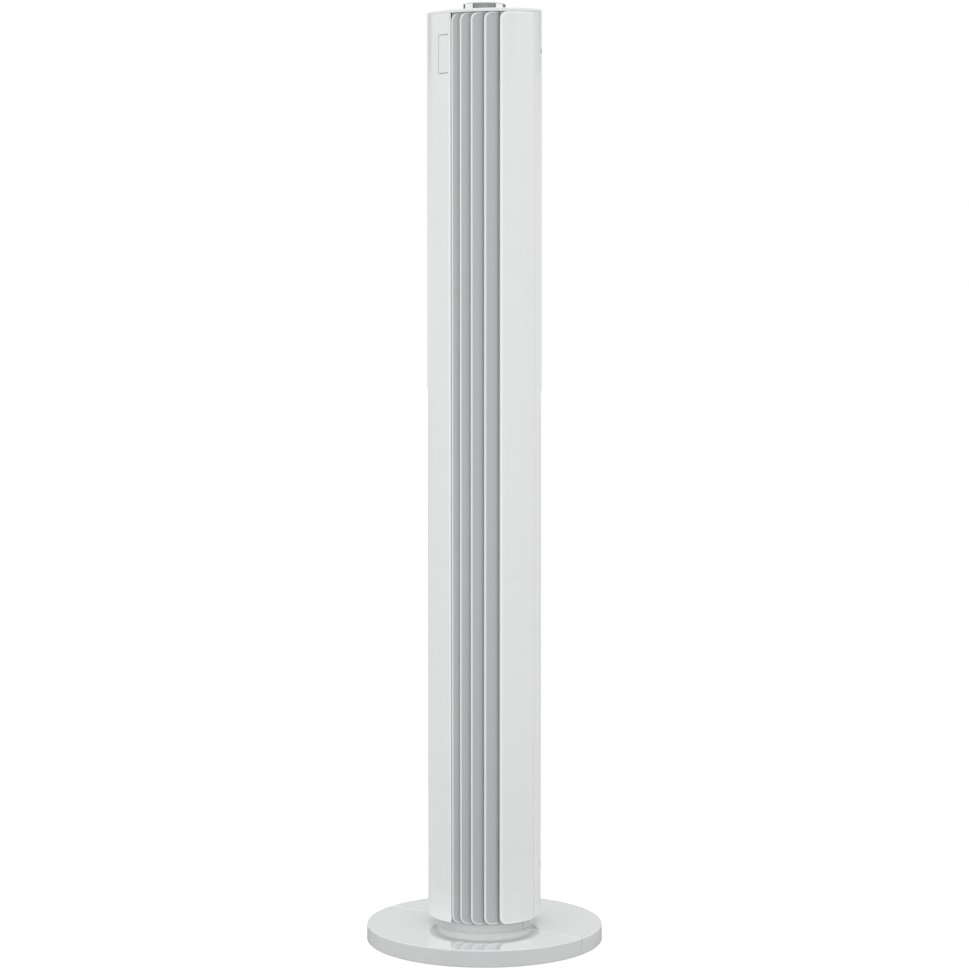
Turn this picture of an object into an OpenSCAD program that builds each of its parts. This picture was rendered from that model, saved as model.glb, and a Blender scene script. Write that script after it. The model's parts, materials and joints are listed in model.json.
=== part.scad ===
// Slim column fan that swings on a round base.
// Millimetres, +Z up, the front faces -Y, origin on the floor under the column's axis.
// Directions are given in degrees from the front (-Y) towards +X.

/* [Overall] */
// Height from the floor to the top of the dial
total_h = 1000; // [800:1:1200]
// Outer diameter of the column
column_d = 122; // [110:1:150]
// Wall of the column's shells
wall = 2.4; // [1.6:0.1:3.5]
// Angle of the sloping top, which falls towards the front
top_slope = 2.7; // [0:0.1:6]
// Height of the dial above the middle of the sloping top
dial_proud = 8; // [5:0.5:14]

/* [Base] */
// Diameter of the round base
base_d = 254; // [220:1:320]
// Height of the base disc
base_h = 19; // [16:0.5:30]
// Skin of the base halves
base_wall = 2.6; // [2:0.1:3.5]
// Diameter of the neck under the column
neck_d = 103; // [96:1:108]
// Height of the neck between base and column
neck_h = 10; // [6:0.5:20]
// Thickness of the steel ballast plate
ballast_t = 4; // [2:0.5:6]
// Thickness of the cover under the base
cover_t = 3; // [2.5:0.1:4]
// Diameter of the cord that the inlet is made for
cord_d = 7; // [5:0.5:9]

/* [Outlet] */
// Direction of the front panel's free edge, where the outlet starts
outlet_start = 0; // [-10:1:10]
// Step from the outlet's edge to the first slat
slat_first = 1.6; // [1:0.1:4]
// Step from the first slat to the second
slat_pitch = 9.5; // [8.5:0.1:12]
// How much each further step grows
slat_growth = 2; // [0:0.1:3]
// Thickness of a slat
slat_t = 2.6; // [1.8:0.1:3]
// Air gap between neighbouring slats
slat_gap = 2.4; // [1.5:0.1:3]
// Radius of the slats' free corners
slat_corner = 8; // [3:0.5:12]

/* [Shells] */
// Direction of the seam between front and rear shells, both sides
seam_a = 95.5; // [90:0.5:105]
// Width of the open line between neighbouring shells
seam = 0.4; // [0.2:0.05:0.8]
// Height of one rear air slot
slot_h = 4.6; // [3:0.1:6]
// Pitch of the rear air slots
slot_pitch = 8; // [7:0.1:12]

/* [Window] */
// Height of the display window
window_h = 40; // [20:1:60]
// Distance from the top of the column to the window
window_drop = 28; // [20:1:60]
// Angle that the window covers
window_a = 14.8; // [8:0.1:20]

/* [Air wheel] */
// Diameter of the cross-flow wheel
wheel_d = 72; // [60:1:76]
// Number of blades
blades = 30; // [20:1:36]
// Number of bladed sections
wheel_sections = 4; // [2:1:6]

/* [Controls] */
// Diameter of the dial
dial_d = 45.4; // [36:0.2:56]
// Diameter of the button in the dial
button_d = 27; // [16:1:30]
// Travel of the button
button_travel = 1.2; // [0.5:0.1:1.8]

/* [Swing gears] */
// Tooth size of the swing gears
gear_module = 1; // [0.8:0.1:1.2]
// Teeth on the fixed gear
sun_teeth = 48; // [40:4:56]
// Teeth on the motor's pinion
pinion_teeth = 16; // [12:4:20]

/* [Hidden] */
$fn = 96;
// clearances
fit = 0.1;                      // pieces that seat in each other
run = 0.05;                     // radial clearance of a shaft in its bush
loose = 0.3;                    // moving piece in an opening
// base stack
foot_t = 1.2;                   // feet stand out this far
base_r = base_d / 2;
cover_z = foot_t;
ballast_z = cover_z + cover_t;
deck_z = ballast_z + ballast_t; // top of the ballast plate
cover_r = base_r - base_wall - fit;
ballast_r = cover_r - 6;
neck_r = neck_d / 2;
neck_gap = 1;                   // open line between neck and column
base_edge = 1.4;                // rounding of the base's rim
// cord inlet in the rear rim
gland_wall = 1.4;
gland_rim = 0.9;                // inner collar of the gland
gland_r = cord_d / 2 + gland_wall;
gland_z = base_h - base_wall - gland_r - gland_rim - fit;
gland_len = 12;
gland_sink = 0.2;               // the gland ends this far inside the rim
cord_play = 0.2;
cord_room = 1;                  // beside the cord in its way through the hub
// hub screws
hub_screw_count = 4;
hub_screw_ring = 25;
hub_screw_r = 2;
hub_screw_head_t = 2.2;
hub_screw_head_r = 4;
// column
column_r = column_d / 2;
inner_r = column_r - wall;
seat_r = inner_r - fit;         // outer radius of the plates inside the shells
column_z = base_h + neck_h;
top_z = total_h - dial_proud;
cap_t = 3.6;                    // thickness of the top cap's rim
slat_room = 9;                  // plates step back this far behind the slats
slot_step_r = inner_r - slat_room;
cap_edge = 1.4;
seam_half_a = seam / 2 / column_r * 180 / PI;
edge_round = 2;                 // rounding of the upright free edges
// slats: left edges, the last one belongs to the side panel
slat_count = 4;
slat_overlap = 2.5;             // angle that a slat reaches behind the next edge
function slat_a(i) = outlet_start + slat_first + i * slat_pitch + slat_growth * i * (i - 1) / 2;
side_a = slat_a(slat_count);
comb_count = 6;
comb_t = 2;
comb_depth = 4;
comb_end = 20;                  // the first and last rib stand this far inside the wheel's ends
comb_out = 4.4;                 // the ribs reach this far past the plates' step
liner_t = 1.5;
tab_t = 1;                      // tabs behind the rounded corners of the free edges
tab_h = 12;
tab_inset = 0.7;                // angle from the free edge to the tab
tab_a = 9.3;                    // angle from the free edge to the tab's end
// swivel
tube_r = 14;
tube_bore = 10;
flange_t = 3;
foot_z = column_z + 2;          // underside of the column's foot plate
foot_plate_t = 4;
thrust_t = 2;
thrust_r = 43;
thrust_w = 9;
bush_t = 2.5;
bush_h = 10;
washer_t = 1.2;
gear_t = 6;
nut_t = 5;
washer_z = foot_z + bush_h;
gear_z = washer_z + washer_t;
nut_z = gear_z + gear_t;
tube_top = nut_z + nut_t + 2;
sun_r = gear_module * sun_teeth / 2;
pinion_r = gear_module * pinion_teeth / 2;
gear_backlash = 0.15;           // each flank stands back this far
pinion_axis = sun_r + pinion_r;
stepper_r = 14;
stepper_h = 18;
stepper_z = gear_z + gear_t + 3;
stepper_off = 8;                // the motor's shaft stands off its middle
stepper_post_r = 3;
stepper_lug_t = 1;
boss_wall = 3.5;
pinion_shaft_r = 2.5;
// air wheel
wheel_x = -7;
wheel_y = 10;
wheel_r = wheel_d / 2;
bay_z = column_z + 96;          // underside of the motor plate
bay_t = 3;
lead_holes = [[-38, -20], [30, 30]];
lead_hole_r = 4;
upper_z = top_z - 80;           // underside of the upper plate
upper_t = 3;
wheel_z = bay_z + bay_t + 8;
wheel_end = upper_z - 10;
wheel_h = wheel_end - wheel_z;
wheel_disc_t = 2;
blade_t = 1;
blade_depth = 8;
shaft_r = 4;
axle_r = 3;
hub_r = 11;
motor_r = 38;
motor_h = 34;
damper_t = 4;
motor_z = bay_z - damper_t - motor_h;
bush_wall = 3;
blade_steps = 4;
blade_sweep = 12;               // angle between a blade's inner and outer edge
disc_proud = 0.5;               // the wheel's discs stand out past its blades
shaft_foot = 8;                 // the shaft starts this far inside the motor
shaft_reach = 10;               // and ends this far inside the wheel
// air path
duct_t = 2;
duct_z = bay_z + bay_t;
duct_h = upper_z - duct_z;
guide_steps = 10;
guide_gap = 4;                  // from the wheel to the guide at its rear end
guide_room = 7.6;               // from the guide's bend at its front end to the shell, seen from the wheel
guide_growth = inner_r - wheel_r - guide_gap - guide_room;
guide_rear_a = 115;
guide_front_a = 66;
tongue_gap = 3;
tongue_a = -28;
// rear grille
grille_a0 = 130;
grille_a1 = 230;
slot_cols = 2;
slot_rib_a = 4;                 // angle of the upright ribs between the slots
slot_margin = 4;
slot_low = bay_z + bay_t + slot_margin;
slot_rows = floor((upper_z - slot_margin - slot_low) / slot_pitch);
// main board
main_board_w = 46;
main_board_h = 62;
board_mid = -8;
board_y = -42;
// window
window_end = outlet_start - 2.2;
window_start = window_end - window_a;
window_z = top_z - window_drop - window_h;
window_line = 0.35;             // open line round the window
window_flange = 2;
flange_skin = 1.4;
// controls
bezel_w = 1.7;
dial_r = dial_d / 2;
dial_well_r = dial_r + loose;
button_r = button_d / 2;
stem_r = 2.6;
sleeve_r = 6;
board_t = 1.6;
board_z = top_z - 40;
encoder_h = 9;
encoder_w = 28;
switch_h = 2.6;
bezel_top = top_z + 1.2;
bezel_depth = 14;               // the collar reaches this far below the top
bezel_floor = 3;
cap_collar = 16;                // the cap's collar round it reaches a little further
dial_low = top_z - 3;
dial_round = 0.8;
dial_pocket = 5;                // depth of the pocket for the button
button_round = 0.6;
button_top = total_h - 0.6;
button_t = 2.8;
control_board_r = 47;
board_post_r = 32;
board_posts = [-60, 60, 180];   // directions of the posts under the control board
display_a = window_start + window_a / 2;
display_r = control_board_r - 1;
// screws
screw_r = 1.9;
screw_head_r = 3.6;
screw_head_t = 1.7;
head_sink = 0.2;                // the heads lie this far inside the cover
base_screw_ring = 88;
base_screw_dirs = [25, 75, 105, 155, 205, 255, 285, 335];
feet_ring = 104;
feet_count = 6;
foot_r = 8;
foot_sink = 1;                  // feet sit this deep in the cover
shell_screw_a = 115;
shell_screw_low = column_z + 55;
shell_screw_high = top_z - 42;
shell_screw_r = 1.5;
shell_screw_head_r = 2.4;
shell_screw_play = 0.4;         // round the head in its recess
shell_screw_sink = 1.5;
shell_screw_len = 11;
boss_r = 4.5;
// colours
white = [0.93, 0.94, 0.94];
grey_plastic = [0.74, 0.75, 0.77];
dark_plastic = [0.16, 0.17, 0.18];
steel = [0.62, 0.64, 0.66];
chrome = [0.82, 0.83, 0.85];
board_green = [0.10, 0.32, 0.20];
rubber = [0.12, 0.12, 0.12];
acetal = [0.90, 0.89, 0.84];
copper = [0.72, 0.45, 0.25];

// names of the pieces, for the builder of single files

// ---------- shapes used by several pieces ----------

function polar(r, a) = [r * sin(a), -r * cos(a)];

// wedge from direction a0 to a1
module wedge(a0, a1, reach = 400) {
    steps = max(2, ceil((a1 - a0) / 30));
    polygon(concat([[0, 0]], [for (i = [0 : steps]) polar(reach, a0 + (a1 - a0) * i / steps)]));
}

module ring_part(r_out, r_in, a0, a1) {
    intersection() {
        difference() {
            circle(r_out);
            circle(r_in);
        }
        wedge(a0, a1);
    }
}

// everything above the sloping top, lowered by depth
module over_top(depth = 0) {
    translate([0, 0, top_z - depth]) rotate([top_slope, 0, 0])
        translate([-column_d, -column_d, 0]) cube([2 * column_d, 2 * column_d, total_h / 4]);
}

// ring sector of the column's wall, from its foot to the joint with the top cap
module shell_wall(a0, a1) {
    difference() {
        translate([0, 0, column_z]) linear_extrude(total_h) ring_part(column_r, inner_r, a0, a1);
        over_top(cap_t);
    }
}

function top_at(a, depth) = top_z - depth - column_r * cos(a) * tan(top_slope);

// what is cut away to round the two corners of a free edge at direction a, tipped by tilt about the edge
module corner_waste(a, r, tilt) {
    translate(concat(polar(column_r, a), column_z)) rotate([0, 0, a + tilt]) corner_block(r);
    translate(concat(polar(column_r, a), top_at(a, cap_t))) rotate([0, 0, a + tilt]) mirror([0, 0, 1])
        corner_block(r);
}

module corner_block(r) {
    difference() {
        translate([-r, -r, -r]) cube([2 * r, 2 * r, 2 * r]);
        translate([r, 0, r]) rotate([90, 0, 0]) cylinder(h = 6 * r, r = r, center = true);
        translate([r, -2 * r, -2 * r]) cube([2 * r, 4 * r, 5 * r]);
    }
}

// strip of even thickness along a chain of points
function unit(v) = v / norm(v);
function side(p, i) =
    let (a = p[max(i - 1, 0)], b = p[min(i + 1, len(p) - 1)], d = unit(b - a)) [-d[1], d[0]];
function strip(p, t) = concat(
    [for (i = [0 : len(p) - 1]) p[i] + side(p, i) * t / 2],
    [for (i = [len(p) - 1 : -1 : 0]) p[i] - side(p, i) * t / 2]);

// spur gear outline with straight-sided teeth
module gear_outline(teeth, m) {
    pitch_r = m * teeth / 2;
    root_r = pitch_r - 1.25 * m;
    half = 90 / teeth;
    slim = gear_backlash / pitch_r * 180 / PI / 2;
    tip_r = pitch_r + 0.9 * m;
    root_a = 1.35 * half;
    tip_a = 0.45 * half;
    polygon([for (i = [0 : teeth - 1]) let (a = i * 360 / teeth) each [
        polar(root_r, a - root_a), polar(pitch_r, a - half + slim), polar(tip_r, a - tip_a),
        polar(tip_r, a + tip_a), polar(pitch_r, a + half - slim), polar(root_r, a + root_a)]]);
}

module ring(r_out, r_in, h) {
    difference() {
        cylinder(h = h, r = r_out);
        translate([0, 0, -1]) cylinder(h = h + 2, r = r_in);
    }
}

module around(count, r) {
    for (i = [0 : count - 1]) rotate([0, 0, i * 360 / count]) translate([0, -r, 0]) children();
}

module at_base_screws() {
    for (a = base_screw_dirs) rotate([0, 0, a]) translate([0, -base_screw_ring, 0]) children();
}

// ---------- stand ----------

module base_profile() {
    skin_z = base_h - base_wall;
    collar_z = column_z - neck_gap;
    translate([neck_r - base_wall, skin_z]) square([base_r - neck_r + base_wall - base_edge, base_wall]);
    translate([base_r - base_edge - base_wall, skin_z]) square([base_wall, base_wall - base_edge]);
    translate([base_r - base_wall, cover_z]) square([base_wall, base_h - base_edge - cover_z]);
    translate([base_r - base_edge, base_h - base_edge]) circle(base_edge, $fn = 48);
    translate([neck_r - base_wall, skin_z]) square([base_wall, collar_z - skin_z]);
    translate([thrust_r + loose, collar_z - base_wall]) square([neck_r - thrust_r - loose, base_wall]);
}

module base_half(turn) {
    rotate([0, 0, turn]) difference() {
        union() {
            rotate_extrude() base_profile();
            at_base_screws()
                translate([0, 0, deck_z]) cylinder(h = base_h - base_wall / 2 - deck_z, r = boss_r);
        }
        at_base_screws()
            translate([0, 0, deck_z - 1]) cylinder(h = base_h - base_wall - deck_z, r = screw_r + run);
        translate([-base_d, -seam / 2, -1]) cube([2 * base_d, base_d, total_h]);
    }
}

module base_front() color(white) base_half(0);

module base_rear() color(white) difference() {
    base_half(180);
    translate([0, base_r, gland_z]) rotate([90, 0, 0])
        cylinder(h = 4 * base_wall, r = gland_r + fit, center = true);
}

module cord_gland() color(rubber) {
    translate([0, base_r - gland_sink, gland_z]) rotate([90, 0, 0]) difference() {
        union() {
            cylinder(h = gland_len, r = gland_r);
            translate([0, 0, base_wall]) cylinder(h = 1.5, r = gland_r + gland_rim);
        }
        translate([0, 0, -1]) cylinder(h = gland_len + 2, r = cord_d / 2 + cord_play);
    }
}

module base_cover() color(dark_plastic) difference() {
    translate([0, 0, cover_z]) cylinder(h = cover_t, r = cover_r);
    at_base_screws() {
        translate([0, 0, -1]) cylinder(h = total_h, r = screw_r + loose);
        translate([0, 0, -1])
            cylinder(h = cover_z + head_sink + screw_head_t + 1, r = screw_head_r + loose);
    }
    around(feet_count, feet_ring)
        translate([0, 0, -1]) cylinder(h = cover_z + foot_sink + 1, r = foot_r + fit);
    // room for the collar of a wide gland
    translate([0, base_r, gland_z]) rotate([90, 0, 0])
        cylinder(h = gland_len, r = gland_r + gland_rim + fit);
}

module ballast_plate() color(steel) difference() {
    translate([0, 0, ballast_z]) cylinder(h = ballast_t, r = ballast_r);
    at_base_screws() cylinder(h = total_h, r = screw_r + loose);
    around(hub_screw_count, hub_screw_ring) cylinder(h = total_h, r = hub_screw_r + run);
    // notch for the gland and the cord behind it
    translate([-gland_r - gland_rim - fit, base_r - 2 * gland_len, 0])
        cube([2 * (gland_r + gland_rim + fit), 2 * gland_len, total_h]);
}

module rubber_feet() color(rubber)
    around(feet_count, feet_ring) cylinder(h = foot_t + foot_sink, r = foot_r);

module pan_screw(shank_r, head_r, head_t, length) {
    cylinder(h = head_t, r = head_r);
    cylinder(h = length, r = shank_r);
}

module base_screws() color(steel)
    at_base_screws() translate([0, 0, cover_z + head_sink]) difference() {
        pan_screw(screw_r, screw_head_r, screw_head_t, base_h - base_wall - 2 - cover_z);
        translate([0, 0, -1]) cylinder(h = 2, r = screw_r, $fn = 6);
    }

module swivel_hub() color(grey_plastic) difference() {
    union() {
        translate([0, 0, deck_z]) cylinder(h = flange_t, r = thrust_r);
        translate([0, 0, deck_z]) cylinder(h = tube_top - deck_z, r = tube_r);
        translate([0, 0, deck_z]) ring(thrust_r - 1, thrust_r - thrust_w + 1, foot_z - thrust_t - deck_z);
    }
    cylinder(h = total_h, r = tube_bore);
    around(hub_screw_count, hub_screw_ring)
        translate([0, 0, deck_z - 1]) cylinder(h = flange_t + 2, r = hub_screw_r + run);
    // way for the cord from the rear rim to the tube
    translate([-cord_d / 2 - cord_room, 0, deck_z - 1])
        cube([cord_d + 2 * cord_room, base_r, cord_d + 2 * cord_room]);
}

module hub_screws() color(steel)
    around(hub_screw_count, hub_screw_ring)
        translate([0, 0, deck_z + flange_t + hub_screw_head_t]) mirror([0, 0, 1])
            pan_screw(hub_screw_r, hub_screw_head_r, hub_screw_head_t,
                hub_screw_head_t + flange_t + ballast_t - 0.5);

module thrust_ring() color(acetal)
    translate([0, 0, foot_z - thrust_t]) ring(thrust_r, thrust_r - thrust_w, thrust_t);

module hub_washer() color(steel) translate([0, 0, washer_z]) ring(tube_r + 6, tube_r + fit, washer_t);

module fixed_gear() color(acetal) translate([0, 0, gear_z]) difference() {
    linear_extrude(gear_t) gear_outline(sun_teeth, gear_module);
    translate([0, 0, -1]) cylinder(h = gear_t + 2, r = tube_r + fit);
}

module hub_nut() color(steel) translate([0, 0, nut_z]) difference() {
    cylinder(h = nut_t, r = tube_r + 7, $fn = 6);
    translate([0, 0, -1]) cylinder(h = nut_t + 2, r = tube_r + fit);
}

// ---------- column chassis ----------

// disc that seats in the shells and steps back behind the slats
module deck_outline() {
    difference() {
        circle(seat_r);
        ring_part(column_r, slot_step_r, outlet_start + 0.2, side_a + tab_a + 1);
    }
}

module column_foot() color(grey_plastic) difference() {
    union() {
        translate([0, 0, foot_z]) linear_extrude(foot_plate_t) deck_outline();
        translate([0, 0, foot_z]) cylinder(h = bush_h, r = tube_r + run + bush_t + boss_wall);
        // posts under the swing motor
        for (s = [-1, 1]) translate([s * (stepper_r + boss_wall), pinion_axis, foot_z])
            cylinder(h = stepper_z - foot_z, r = stepper_post_r);
        // rails that hold the main board
        for (s = [-1, 1]) translate([board_mid + s * (main_board_w / 2 + 1), board_y, foot_z])
            translate([-2, -3, 0]) cube([4, 6, main_board_h / 2]);
        // wall that carries the shell screws' lower bosses
        for (s = [-1, 1]) screw_pillar(s, foot_z, shell_screw_low + boss_r);
    }
    translate([0, 0, foot_z - 1]) cylinder(h = bush_h + 2, r = tube_r + run + bush_t);
    for (s = [-1, 1]) shell_screw_hole(s, shell_screw_low);
    // grooves for the board's edges
    translate([board_mid - main_board_w / 2 - 1.2, board_y - board_t / 2 - fit, foot_z + foot_plate_t])
        cube([main_board_w + 2.4, board_t + 2 * fit, total_h]);
}

// pillar along the shell, with the boss for a screw near its end
module screw_pillar(s, z0, z1) {
    rotate([0, 0, s * shell_screw_a]) translate([-boss_r, -seat_r + 1.2, z0])
        cube([2 * boss_r, shell_screw_len - 2, z1 - z0]);
}

module shell_screw_hole(s, z) {
    rotate([0, 0, s * shell_screw_a]) translate([0, -column_r, z]) rotate([-90, 0, 0])
        cylinder(h = shell_screw_len + 3, r = shell_screw_r + run);
}

module pivot_bush() color(acetal)
    translate([0, 0, foot_z]) ring(tube_r + run + bush_t, tube_r + run, bush_h);

module motor_plate() color(grey_plastic) difference() {
    translate([0, 0, bay_z]) linear_extrude(bay_t) deck_outline();
    translate([wheel_x, wheel_y, bay_z - 1]) cylinder(h = bay_t + 2, r = hub_r + 1);
    // ways for the leads
    for (p = lead_holes) translate([p[0], p[1], bay_z - 1]) cylinder(h = bay_t + 2, r = lead_hole_r);
}

module upper_plate() color(grey_plastic) difference() {
    union() {
        translate([0, 0, upper_z]) linear_extrude(upper_t) deck_outline();
        translate([wheel_x, wheel_y, upper_z - 3])
            cylinder(h = upper_t + 3, r = axle_r + run + bush_wall + 3);
        for (s = [-1, 1]) screw_pillar(s, upper_z, shell_screw_high + boss_r);
        // posts that carry the control board
        for (a = board_posts) translate(concat(polar(board_post_r, a), upper_z))
            cylinder(h = board_z - upper_z, r = boss_wall);
    }
    translate([wheel_x, wheel_y, upper_z - 4]) cylinder(h = upper_t + 5, r = axle_r + run + bush_wall);
    for (s = [-1, 1]) shell_screw_hole(s, shell_screw_high);
}

module axle_bush() color(copper) translate([wheel_x, wheel_y, upper_z - 3])
    ring(axle_r + run + bush_wall, axle_r + run, upper_t + 3);

// ---------- column shells ----------

// opening in the front panel for the window
module window_hole() {
    translate([0, 0, window_z]) linear_extrude(window_h) wedge(window_start, window_end, column_d);
}

module front_panel() color(white) difference() {
    translate([0, 0, column_z]) linear_extrude(total_h) difference() {
        ring_part(column_r, inner_r, seam_half_a - seam_a, outlet_start);
        rotate(outlet_start) mirror([1, 0]) rotate(-outlet_start) edge_waste(outlet_start, 0);
    }
    over_top(cap_t);
    window_hole();
}

module side_panel() color(white) difference() {
    translate([0, 0, column_z]) linear_extrude(total_h) difference() {
        ring_part(column_r, inner_r, side_a, seam_a - seam_half_a);
        edge_waste(side_a, 0);
    }
    over_top(cap_t);
    corner_waste(side_a, slat_corner, 0);
}

// sharp outer corner of an upright free edge, in plan, tipped by tilt about the edge
module edge_waste(a, tilt) {
    translate(polar(column_r, a)) rotate(a + tilt) difference() {
        translate([-1, -1]) square(edge_round + 1);
        translate([edge_round, edge_round]) circle(edge_round, $fn = 32);
    }
}

// a slat is a piece of the column's wall, swung inwards about its own free edge
function slat_chord(i) = 2 * column_r * sin((slat_a(i + 1) - slat_a(i)) / 2);
function slat_tilt(i) = asin((slat_t + slat_gap) / slat_chord(i));

module slat_outline(i) {
    difference() {
        translate(polar(column_r, slat_a(i))) rotate(slat_tilt(i)) translate(-polar(column_r, slat_a(i)))
            ring_part(column_r, column_r - slat_t, slat_a(i), slat_a(i + 1) + slat_overlap);
        edge_waste(slat_a(i), slat_tilt(i));
    }
}

module slat(i) {
    color(white) difference() {
        translate([0, 0, column_z]) linear_extrude(total_h) slat_outline(i);
        over_top(cap_t);
        corner_waste(slat_a(i), slat_corner, slat_tilt(i));
    }
}

module slat_1() slat(0);
module slat_2() slat(1);
module slat_3() slat(2);
module slat_4() slat(3);

// ribs across the outlet that the slats are fixed to
module comb_outline() {
    difference() {
        intersection() {
            difference() {
                circle(slot_step_r + comb_out);
                circle(slot_step_r - comb_depth);
            }
            polygon(concat([tongue_points[1], tongue_points[0]],
                [for (a = [outlet_start : (side_a - outlet_start) / 3 : side_a]) polar(column_d, a)],
                [guide_mouth, guide_points[len(guide_points) - 2]]));
        }
        polygon(strip(guide_points, duct_t));
        polygon(strip(tongue_points, duct_t));
        for (i = [0 : slat_count - 1]) slat_outline(i);
    }
}

module slat_combs() color(grey_plastic)
    for (k = [0 : comb_count - 1])
        translate([0, 0, wheel_z + comb_end + k * (wheel_h - 2 * comb_end) / (comb_count - 1)])
            linear_extrude(comb_t) comb_outline();

// square tab behind the corner of free edge i, the last of which is the side panel's
module tab_outline(i) {
    tilt = i < slat_count ? slat_tilt(i) : 0;
    reach = column_r - (i < slat_count ? slat_t : wall) - fit;
    translate(polar(column_r, slat_a(i))) rotate(tilt) translate(-polar(column_r, slat_a(i)))
        ring_part(reach, reach - tab_t, slat_a(i) + tab_inset, slat_a(i) + tab_a);
}

module slat_tabs() color(white) difference() {
    for (i = [0 : slat_count]) {
        translate([0, 0, column_z + 0.5]) linear_extrude(tab_h) tab_outline(i);
        translate([0, 0, top_at(slat_a(i), cap_t) - tab_h]) linear_extrude(2 * tab_h) tab_outline(i);
    }
    over_top(cap_t + fit);
}

// curved walls that close the outlet below and above the duct, behind the slats
module end_liners() color(grey_plastic) difference() {
    for (z = [[foot_z, duct_z], [upper_z, total_h]])
        translate([0, 0, z[0]]) linear_extrude(z[1] - z[0])
            ring_part(slot_step_r + fit + liner_t, slot_step_r + fit,
                outlet_start + 0.2, side_a + slat_overlap / 2);
    over_top(cap_t + fit);
}

module rear_shell() color(white) difference() {
    shell_wall(seam_a + seam_half_a, 360 - seam_a - seam_half_a);
    step = (grille_a1 - grille_a0) / slot_cols;
    for (c = [0 : slot_cols - 1], k = [0 : slot_rows - 1])
        rotate([0, 0, grille_a0 + (c + 0.5) * step]) translate([0, -column_r, slot_low + k * slot_pitch])
            translate([-slot_half(step), -4, 0]) cube([2 * slot_half(step), 18, slot_h]);
    for (s = [-1, 1], z = [shell_screw_low, shell_screw_high]) {
        rotate([0, 0, s * shell_screw_a]) translate([0, -column_r - 1, z]) rotate([-90, 0, 0])
            cylinder(h = shell_screw_sink + 1, r = shell_screw_head_r + shell_screw_play);
        shell_screw_hole(s, z);
    }
}

function slot_half(step) = (column_r - wall) * sin(step / 2 - slot_rib_a / 2);

module shell_screws() color(steel)
    for (s = [-1, 1], z = [shell_screw_low, shell_screw_high])
        rotate([0, 0, s * shell_screw_a]) translate([0, -column_r + shell_screw_sink, z])
            rotate([-90, 0, 0]) difference() {
                union() {
                    translate([0, 0, -1]) cylinder(h = 1, r = shell_screw_head_r);
                    cylinder(h = shell_screw_len - 2, r = shell_screw_r);
                }
                translate([0, 0, -1.5]) cylinder(h = 1.1, r = 0.8 * shell_screw_r, $fn = 6);
            }

// ---------- air path ----------

function about_wheel(r, a) = [wheel_x, wheel_y] + polar(r, a);

// spiral wall from the rear intake to the outlet's far edge
guide_mouth = polar(seat_r - 0.1, side_a + 2);
guide_points = concat(
    [polar(seat_r - 1, 118)],
    [for (i = [0 : guide_steps])
        let (f = i / guide_steps, a = guide_rear_a - f * (guide_rear_a - guide_front_a))
        about_wheel(wheel_r + guide_gap + f * f * guide_growth, a)],
    [guide_mouth]);

// wall from the outlet's near edge to the wheel and back to the shell
tongue_points = [
    polar(seat_r - 0.1, outlet_start - 2.2),
    about_wheel(wheel_r + tongue_gap + 8, tongue_a + 14),
    about_wheel(wheel_r + tongue_gap + 1, tongue_a + 2),
    about_wheel(wheel_r + tongue_gap + 1, tongue_a - 4),
    about_wheel(wheel_r + tongue_gap + 9, tongue_a - 22),
    polar(seat_r - 1, -72)];

// upright wall that ends just inside the shells
module duct_wall(points) {
    translate([0, 0, duct_z]) linear_extrude(duct_h) intersection() {
        circle(seat_r);
        polygon(strip(points, duct_t));
    }
}

module duct_guide() color(grey_plastic)
    duct_wall(guide_points);

module duct_tongue() color(grey_plastic)
    duct_wall(tongue_points);

// ---------- drives ----------

module fan_motor() color(steel) translate([wheel_x, wheel_y, motor_z]) difference() {
    union() {
        translate([0, 0, 4]) cylinder(h = motor_h - 8, r = motor_r);
        cylinder(h = motor_h, r = motor_r - 8);
    }
    translate([0, 0, 6]) cylinder(h = motor_h, r = shaft_r + run);
}

module motor_damper() color(rubber) translate([wheel_x, wheel_y, bay_z - damper_t])
    ring(motor_r - 9, hub_r + 4, damper_t);

module swing_motor() color(steel) difference() {
    union() {
        translate([0, pinion_axis + stepper_off, stepper_z]) cylinder(h = stepper_h, r = stepper_r);
        translate([-stepper_r - 2 * boss_wall, pinion_axis - 4, stepper_z])
            cube([2 * stepper_r + 4 * boss_wall, 8, stepper_lug_t]);
    }
    translate([0, pinion_axis, stepper_z - 1]) cylinder(h = stepper_h - 4, r = pinion_shaft_r + run);
}

module swing_pinion() color(acetal) {
    translate([0, pinion_axis, gear_z]) {
        linear_extrude(gear_t) rotate(180 / pinion_teeth) gear_outline(pinion_teeth, gear_module);
        cylinder(h = stepper_z + stepper_h / 2 - gear_z, r = pinion_shaft_r);
    }
}

module main_board() translate([board_mid, board_y, foot_z + foot_plate_t]) {
    color(board_green) translate([-main_board_w / 2, -board_t / 2, 0])
        cube([main_board_w, board_t, main_board_h]);
    color(dark_plastic) translate([-17, board_t / 2, 36]) cube([14, 9, 18]);
    color(dark_plastic) translate([6, board_t / 2, 30]) cube([10, 6, 12]);
    color(steel) translate([12, board_t / 2 + 4.2, 46]) cylinder(h = 14, r = 4.5);
}

module air_wheel() color(dark_plastic) translate([wheel_x, wheel_y, wheel_z]) difference() {
    union() {
        linear_extrude(wheel_h)
            for (k = [0 : blades - 1]) rotate(k * 360 / blades) polygon(blade_points);
        for (k = [0 : wheel_sections]) translate([0, 0, k * (wheel_h - wheel_disc_t) / wheel_sections])
            cylinder(h = wheel_disc_t, r = wheel_r + disc_proud);
    }
    translate([0, 0, -1]) cylinder(h = wheel_disc_t + 2, r = hub_r);
    translate([0, 0, wheel_h - wheel_disc_t - 1]) cylinder(h = wheel_disc_t + 2, r = axle_r);
}

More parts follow.
